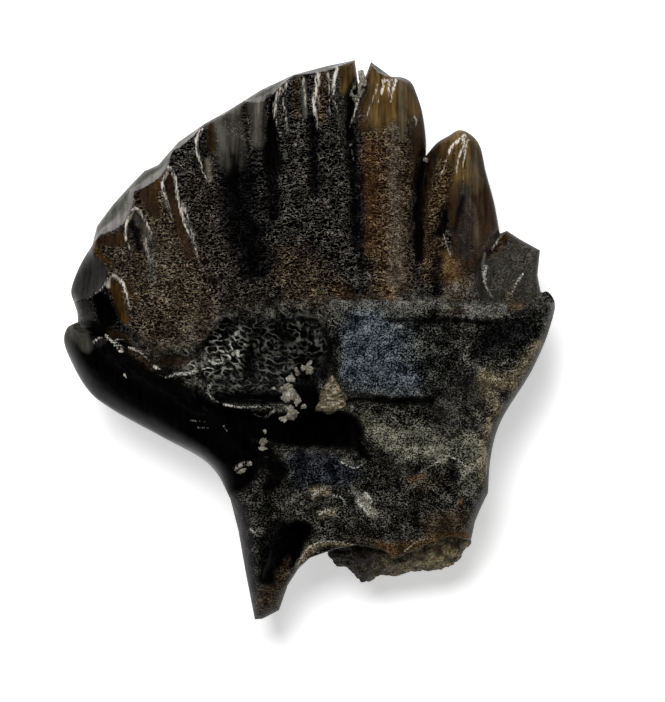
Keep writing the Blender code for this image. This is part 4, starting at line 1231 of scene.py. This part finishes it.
def linear(tone):
    """A colour as it is seen, as the share of light that it sends back."""
    return [
        (part / 255 + 0.055) ** 2.4 / 1.055**2.4 if part > 10 else part / 255 / 12.92
        for part in tone
    ]


def coat(layers, share, tone):
    """Lay a tone over the layers, by a share for each point."""
    ground, flecks_and_sparkle, strength, roughness, bone = TONES[tone]
    over = np.array([*linear(ground), *linear(flecks_and_sparkle), strength, roughness, bone])
    layers += share[:, None] * (over - layers)


def stain(x, y, path, half_width, softness):
    """Where a tone lies round a path, from 1 at its heart to 0."""

    def form(distance, share, _):
        inside = np.clip((1 - distance / between(half_width, share)) / softness, 0, 1)
        return inside**2 * (3 - 2 * inside)

    return along(x, y, path, max(half_width), form)


def crest_shine(x, y, path, half_width, paleness):
    """The painted highlight along a crest, where it would catch the light."""
    wide = half_width * SHINE_WIDTH + SHINE_SPREAD

    def form(distance, share, _):
        across = np.clip(1 - distance / wide / (1 - SHINE_TAPER * share), 0, 1)
        return across * (1 - SHINE_FADE * share**2)

    strength, added = SHINE_STRENGTH
    return along(x, y, path, wide, form) * (strength + added * paleness)


def tooth_layers(mesh):
    """What the finish needs to know at each point of the tooth."""
    count = len(mesh.vertices)
    places = np.empty(count * 3)
    normals = np.empty(count * 3)
    mesh.vertices.foreach_get("co", places)
    mesh.vertices.foreach_get("normal", normals)
    x, y, z = places.reshape(-1, 3).T / MM
    facing = normals.reshape(-1, 3)[:, 2]
    wall = 1 - np.clip(facing * 3, 0, 1)
    edges = x, y

    # The stains, on places that are moved a little, so that their borders are ragged
    size, reach = WALL_WANDER
    x = x + wall * reach * lumps(z, x + y, size, 21.0)
    y = y + wall * reach * lumps(z, x - y, size, 22.0)
    for size, reach in STAIN_WAVER:
        x = x + lumps(*edges, size, 3.0) * reach
        y = y + lumps(*edges, size, 9.0) * reach
    layers = np.zeros((count, 9))
    coat(layers, np.ones(count), "black_enamel")
    root = on_root(*edges, ROOT_BORDER)
    coat(layers, root, "dark_bone_and_shade")
    for stains, shown in ((STAINS, 1 - CROWN_FADE * root), (ROOT_STAINS, 1 - WALL_FADE * wall)):
        for tone, path, half_width, softness, amount in stains:
            coat(layers, stain(x, y, path, half_width, softness) * amount * shown, tone)

    # The pit's veins with their painted highlights, the worn flats and the painted highlights of
    # the crests, on their own places
    x, y = edges
    pitted = in_network(x, y, VEIN_BORDER)
    inside = (pitted > 0) & (facing > 0)
    vein = np.ones(count)
    vein[inside] = network(*waver(x[inside], y[inside]))
    # The veins' pale lines are painted highlights, brightest in one part of the pit
    vein_highlight_strength = VEIN_DIMNESS + stain(x, y, *BRIGHT_VEINS)
    gaps = np.clip(0.7 + 1.4 * lumps(x, y, VEIN_GAPS, 5.0), 0, 1)
    pale = inside * pitted * vein_highlight_strength * gaps
    for name, (outer, inner, _) in WORN_FLATS.items():
        from_outer, _, _ = follow(x, y, np.array(outer))
        from_inner, _, side = follow(x, y, np.array(inner))
        near = (from_outer < FLAT_REACH) & (facing > -0.2)
        on_flat = near & (side > 0) & (from_inner < FLAT_REACH)
        if name == "left_denticle":
            coat(layers, on_flat, "worn_low")
            continue
        start, blend = FLAT_INNER
        width, strength = FLAT_LINE
        inner_part = np.clip((start - from_inner / (from_outer + from_inner + 1e-6)) / blend, 0, 1)
        line = np.clip(1 - from_inner / width, 0, 1) * near * (side < 0) * strength
        # The wear's grey, with a painted sheen
        coat(layers, on_flat, "worn_outer_sheen")
        coat(layers, on_flat * inner_part, "worn_inner_sheen")
        coat(layers, line, "hair_crack")
    x, y = waver(x, y)
    glints = np.zeros(count)
    for path, half_width, _, paleness in CRESTS.values():
        glints = np.maximum(glints, crest_shine(x, y, path, half_width, paleness))
    glints *= np.clip(facing * 4, 0, 1)

    size, strength = MOTTLE
    layers[:, :3] *= (1 + strength * lumps(x + z, y - z, size, 11.0, 3))[:, None]
    size, strength = GRAIN_PATCHES
    layers[:, 6] *= np.clip(1 + strength * lumps(x, y, size, 13.0), 0.3, 1.4)
    return np.column_stack([layers, glints, vein, pale])


layers = tooth_layers(tooth.data)
for name, first in (("ground", 0), ("flecks_and_sparkle", 3)):
    colours = np.ones((len(layers), 4))
    colours[:, :3] = layers[:, first:first + 3]
    stored = tooth.data.attributes.new(name, "FLOAT_COLOR", "POINT")
    stored.data.foreach_set("color", colours.ravel())
for column, name in enumerate(("grain", "roughness", "bone", "glint", "vein", "pale"), 6):
    stored = tooth.data.attributes.new(name, "FLOAT", "POINT")
    stored.data.foreach_set("value", layers[:, column])

# Sizes of the finish's patterns, across, along and through the tooth
ENAMEL_GRAIN = (0.145 * MM, 0.075 * MM, 0.11 * MM)
BONE_GRAIN = (0.045 * MM, 0.037 * MM, 0.042 * MM)
STRIPES = (0.16 * MM, 1.8 * MM, 0.8 * MM)
PATCHES = (0.5 * MM, 0.35 * MM, 0.4 * MM)
SHINE_FIBRES = (0.05 * MM, 0.2 * MM, 0.1 * MM)
CLUMP = 0.22 * MM
# The colours of the painted highlights on the crests and on the pit's veins
SHINE_TONE = [*linear((206, 198, 186)), 1]
BONE_SHINE_TONE = [*linear((190, 190, 180)), 1]
SHINE_START = (0.46, 1.0)
VEIN_EDGE = (0.03, 0.2)
GRAIN_DEPTH = 0.007 * MM

enamel = Finish("polished_fossil", Specular_IOR_Level=0.012)
grain = enamel.attribute("grain")
bone = enamel.attribute("bone")

# The enamel's grain is a felt of fine pale threads, which also paint the sparkle of light on it,
# and the bone's is a scatter of pale specks
crown_noise = enamel.grains(enamel.place(*ENAMEL_GRAIN), 2.0, 0.5, 0.6)
root_noise = enamel.grains(enamel.place(*BONE_GRAIN), 1.5, 0.5, 0.4)
clumps = enamel.grains(enamel.cells(CLUMP), 3.0, 0.65)
threads = 1 - abs(crown_noise - 0.5).within(0.005, 0.012 + 0.034 * grain)
specks = (root_noise + 0.2 * grain + 0.36 * (clumps - 0.5)).within(0.57, 0.75)
patches = enamel.grains(enamel.place(*PATCHES), 3.0, 0.7).within(0.36, 0.66)
marks = (threads * (1 - bone) + specks * bone) * (0.45 + 0.55 * patches)

# The smooth parts have faint stripes along the tooth instead
stripes = enamel.grains(enamel.place(*STRIPES), 3.0, 0.7).within(0.3, 0.7)
shade = 1 + (stripes - 0.5) * (1.5 - 1.2 * grain)
paler = (0.4 + 1.3 * clumps) * (1.3 - 0.3 * bone)
ground = enamel.scaled(enamel.attribute("ground", "Color"), shade)
flecks_and_sparkle = enamel.scaled(enamel.attribute("flecks_and_sparkle", "Color"), paler)
colour = enamel.mix(marks * (1.5 * grain).within(0, 1), ground, flecks_and_sparkle)

# The crests' painted highlights break into fibres, and the pit's veins get painted highlights in
# crooked pale lines
fibres = enamel.grains(enamel.place(*SHINE_FIBRES), 3.0, 0.65, 0.4).within(0.36, 0.62)
fibres = fibres * (1 - bone) + root_noise.within(0.34, 0.6) * bone
# Painted highlights along the crests
shining = (enamel.attribute("glint") * (0.55 + 0.66 * fibres)).within(*SHINE_START)
colour = enamel.mix(shining, colour, enamel.mix(bone, SHINE_TONE, BONE_SHINE_TONE))
# Painted highlights along the pit's raised veins
crooked = 1 - abs(enamel.attribute("vein")).within(*VEIN_EDGE)
veins = crooked * enamel.attribute("pale") * (0.08 + 0.85 * clumps.within(0.4, 0.62))
colour = enamel.mix(veins, colour, BONE_SHINE_TONE)
roughness = enamel.attribute("roughness") + 0.1 * (patches - 0.5)
height = marks * grain + 0.25 * stripes * (1 - grain)
enamel.dress(tooth, colour, roughness, height, GRAIN_DEPTH)
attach(tooth, "root")
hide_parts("tooth")

# The sediment in the broken root: brown sandstone, yellower to the right, that set in the hollow in
# nodules of a third of a millimetre. It still fills the hollow and stands out of its lower end.
# Its lumps have a place, how far they stand out and their reach, in millimetres.
FILL_CENTRE = (2.6, -5.85, 2.9)
FILL_RADII = (2.2, 1.13, 1.2)
FILL_LUMPS = (
    ((1.64, -7.29), 0.5, 0.42), ((3.07, -6.6), -0.1, 0.35), ((4.27, -6.48), 0.14, 0.4),
    ((0.85, -6.6), 0.14, 0.3),
)
NODULE = (0.3, 0.14)  # size and height
PEBBLE = (0.36 * NODULE[0], 0.06)
SWELL = (0.7, 0.1)
BROWN_STONE = ((0.010, 0.008, 0.004, 1), (0.034, 0.027, 0.015, 1))
GOLDEN_STONE = ((0.115, 0.087, 0.036, 1), (0.245, 0.188, 0.085, 1))
PALE_SAND_AND_GLINT = (0.38, 0.34, 0.25, 1)
# The colour of the painted shade in the stone's dips and round its nodules
STONE_SHADE = (0.008, 0.006, 0.004, 1)
GOLDEN_FROM = (1.8 * MM, 3.4 * MM)  # how far right the stone turns from brown to golden
SAND = 0.055 * MM
ZONES = 0.8 * MM
ZONE_WANDER = 2 * MM  # how far the change strays with them
SAND_DEPTH = 0.02 * MM
bm = bmesh.new()
bmesh.ops.create_icosphere(bm, subdivisions=7, radius=1)
for vert in bm.verts:
    x, y, z = (c + r * p for c, r, p in zip(FILL_CENTRE, FILL_RADII, vert.co))
    for (lump_x, lump_y), height, reach in FILL_LUMPS:
        near = math.exp(-(((x - lump_x) / reach) ** 2) - ((y - lump_y) / (2 * reach)) ** 2)
        y -= height * near
        z += 0.3 * height * near * math.sin(9 * x)
    place = Vector((x, y, z))
    to_nodule = noise.voronoi(place / NODULE[0])[0][0]
    to_pebble = noise.voronoi(place / PEBBLE[0])[0][0]
    rise = NODULE[1] * (0.45 - to_nodule**2) + PEBBLE[1] * (0.4 - to_pebble)
    rise += SWELL[1] * noise.fractal(place / SWELL[0], 1, 2, 4)
    vert.co = (place + vert.normal * rise) * MM
fill = add_mesh("root_sandstone", bm)
sandstone = Finish("root_sandstone", Specular_IOR_Level=0.3)
cells = sandstone.cells(NODULE[0] * MM)
nodules = sandstone.node("TexVoronoi", {}, {"Vector": cells, "Scale": 1.0})
sand = sandstone.grains(sandstone.cells(SAND), 2.0, 0.6)
zones = sandstone.grains(sandstone.cells(ZONES), 3.0, 0.6)
right = sandstone.node("SeparateXYZ", {}, {0: sandstone.node("TexCoord", {}, {}, "Object")})
yellower = (right + (zones - 0.5) * ZONE_WANDER).within(*GOLDEN_FROM)
dark = sandstone.mix(zones.within(0.4, 0.6), *BROWN_STONE)
golden = sandstone.mix(zones.within(0.3, 0.7), *GOLDEN_STONE)
stone = sandstone.mix(yellower, dark, golden)
# Painted shade in the dips of the grain
stone = sandstone.mix((0.5 - sand).within(0.0, 0.08) * 0.7, stone, STONE_SHADE)
# Pale sand grains, with their tops painted lighter as highlights
stone = sandstone.mix(sand.within(0.53, 0.62) * (0.24 + 0.46 * yellower), stone, PALE_SAND_AND_GLINT)
# Darker round the nodules, as painted shade in the gaps between them
stone = sandstone.mix(nodules.within(0.34, 0.7) * 0.75, stone, STONE_SHADE)
sandstone.dress(fill, stone, 0.62 + 0.3 * sand, sand, SAND_DEPTH)
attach(fill, "root")
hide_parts("root_sediment")

# The crumb in the pit: a three-cornered flake of pale tan sediment, folded in brown creases, that
# stuck in the hole at the pit's right side when the rest of the filling was picked out.
CRUMB_OUTLINE = (
    (0.7, -1.03), (0.82, -1.2), (0.94, -1.29), (1.09, -1.56), (1.21, -1.92), (1.03, -2.1),
    (0.82, -2.11), (0.61, -2.22), (0.38, -2.13), (0.16, -2.13), (0.32, -1.83), (0.4, -1.47),
    (0.53, -1.29),
)
CRUMB_MIDDLE = (0.67, -1.74)
CRUMB_LEVEL = 5.3
CRUMB_THICKNESS = 0.42
CRUMB_FOLD = 0.05  # height of its folds
CRUMB_SWELL = (0.2, 0.08)  # size and height
CRUMB_GRIT = (0.07, 0.02)
CRUMB_TONES = ((0.060, 0.042, 0.020, 1), (0.38, 0.33, 0.23, 1))
GRIT = 0.045 * MM
CREASES = (0.32 * MM, 0.13 * MM, 0.25 * MM)
CLOUDS = 0.35 * MM
CREASE_TONE = (0.045, 0.03, 0.014, 1)
GRIT_TONE = (0.5, 0.46, 0.36, 1)
GRIT_DEPTH = 0.02 * MM
border = np.array(CRUMB_OUTLINE) - CRUMB_MIDDLE
bearings = np.arctan2(border[:, 1], border[:, 0])
order = np.argsort(bearings)
reaches = np.hypot(*border[order].T)
bm = bmesh.new()
bmesh.ops.create_icosphere(bm, subdivisions=6, radius=1)
for vert in bm.verts:
    x, y, z = vert.co
    reach = np.interp(math.atan2(y, x), bearings[order], reaches, period=2 * math.pi)
    level = CRUMB_LEVEL + z * CRUMB_THICKNESS
    place = Vector((CRUMB_MIDDLE[0] + x * reach, CRUMB_MIDDLE[1] + y * reach, level))
    bent = place.y * 9 - abs(place.x - CRUMB_MIDDLE[0]) * 3 + 2.5 * noise.noise(place * 4)
    size, height = CRUMB_SWELL
    rise = CRUMB_FOLD * math.sin(bent * 2.2) + height * noise.fractal(place / size, 1, 2, 3)
    size, height = CRUMB_GRIT
    grit = vert.normal * height * noise.noise(place / size)
    vert.co = (place + Vector((0, 0, rise)) + grit) * MM
crumb = add_mesh("pit_crumb", bm)


def sandy(name, thing, creased, dark, light):
    """Finish a thing as pale crumbly sediment, creased with brown by a share."""
    made = Finish(name, Specular_IOR_Level=0.25)
    grit = made.grains(made.cells(GRIT), 3.0, 0.7)
    folds = made.grains(made.place(*CREASES), 3.0, 0.65, 1.2)
    clouds = made.grains(made.cells(CLOUDS), 2.0, 0.5)
    creases = 1 - abs(folds - 0.5).within(0.02, 0.1)
    colour = made.mix(clouds.within(0.35, 0.65), dark, light)
    colour = made.mix(creases * creased, colour, CREASE_TONE)
    colour = made.mix(grit.within(0.52, 0.68) * 0.6, colour, GRIT_TONE)
    made.dress(thing, colour, 0.9, grit, GRIT_DEPTH)


sandy("pit_sandstone", crumb, 1.0, *CRUMB_TONES)
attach(crumb, "root")
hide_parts("pit_sediment")

# The small crumbs: what is left of the same sediment in the pit, below it and in the clefts, each
# a rough grain of 0.1 to 0.5 mm that is still cemented to the tooth. Each has a place, a half width
# and a half length, in millimetres.
SMALL_CRUMB_TONES = ((0.15, 0.14, 0.11, 1), (0.36, 0.34, 0.29, 1))
SMALL_CRUMBS = (
    ((-0.04, -0.72), 0.12, 0.14), ((-0.07, -0.93), 0.14, 0.14), ((-0.2, -0.84), 0.09, 0.09),
    ((-0.4, -0.96), 0.1, 0.14), ((-0.55, -1.2), 0.12, 0.15), ((-0.65, -1.44), 0.14, 0.15),
    ((-0.67, -1.68), 0.16, 0.15), ((-0.53, -1.62), 0.12, 0.18), ((-0.38, -1.77), 0.1, 0.16),
    ((-0.22, -1.98), 0.12, 0.07), ((-0.61, -2.16), 0.18, 0.21), ((-0.77, -2.31), 0.1, 0.12),
    ((-0.46, -2.22), 0.12, 0.12), ((-1.36, -3.06), 0.12, 0.15), ((-1.4, -3.27), 0.12, 0.1),
    ((-1.06, -1.47), 0.06, 0.06), ((1.24, 7.38), 0.07, 0.09), ((1.36, 7.23), 0.08, 0.09),
    ((1.33, 7.56), 0.06, 0.06), ((1.21, 5.85), 0.06, 0.04), ((1.53, 7.5), 0.09, 0.21),
    ((1.57, 7.8), 0.1, 0.27), ((3.46, 5.4), 0.1, 0.07), ((-1.33, -2.7), 0.04, 0.09),
    ((-2.27, -0.42), 0.07, 0.07), ((-2.05, -3.9), 0.12, 0.08), ((-1.81, -3.69), 0.09, 0.07),
)
RAGGED = 0.6  # how far the grains stray from round
SUNK = 0.45  # their half height, in the lesser of their half width and half length
bm = bmesh.new()
for number, ((x, y), wide, tall) in enumerate(SMALL_CRUMBS):
    grain_verts = bmesh.ops.create_icosphere(bm, subdivisions=4, radius=1)["verts"]
    base = front(np.array([x]), np.array([y]))[0]
    for vert in grain_verts:
        shape = 1 + RAGGED * noise.fractal(vert.co * 1.6 + Vector((number, 0, 0)), 0.8, 2, 4)
        level = base + SUNK * min(wide, tall) * vert.co.z * shape
        bent = 0.2 * math.sin(3 * vert.co.y + number)
        place = (x + wide * (vert.co.x + bent) * shape, y + tall * vert.co.y * shape, level)
        vert.co = Vector(place) * MM
crumbs = add_mesh("small_crumbs", bm)
sandy("loose_sandstone", crumbs, 0.6, *SMALL_CRUMB_TONES)
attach(crumbs, "root")
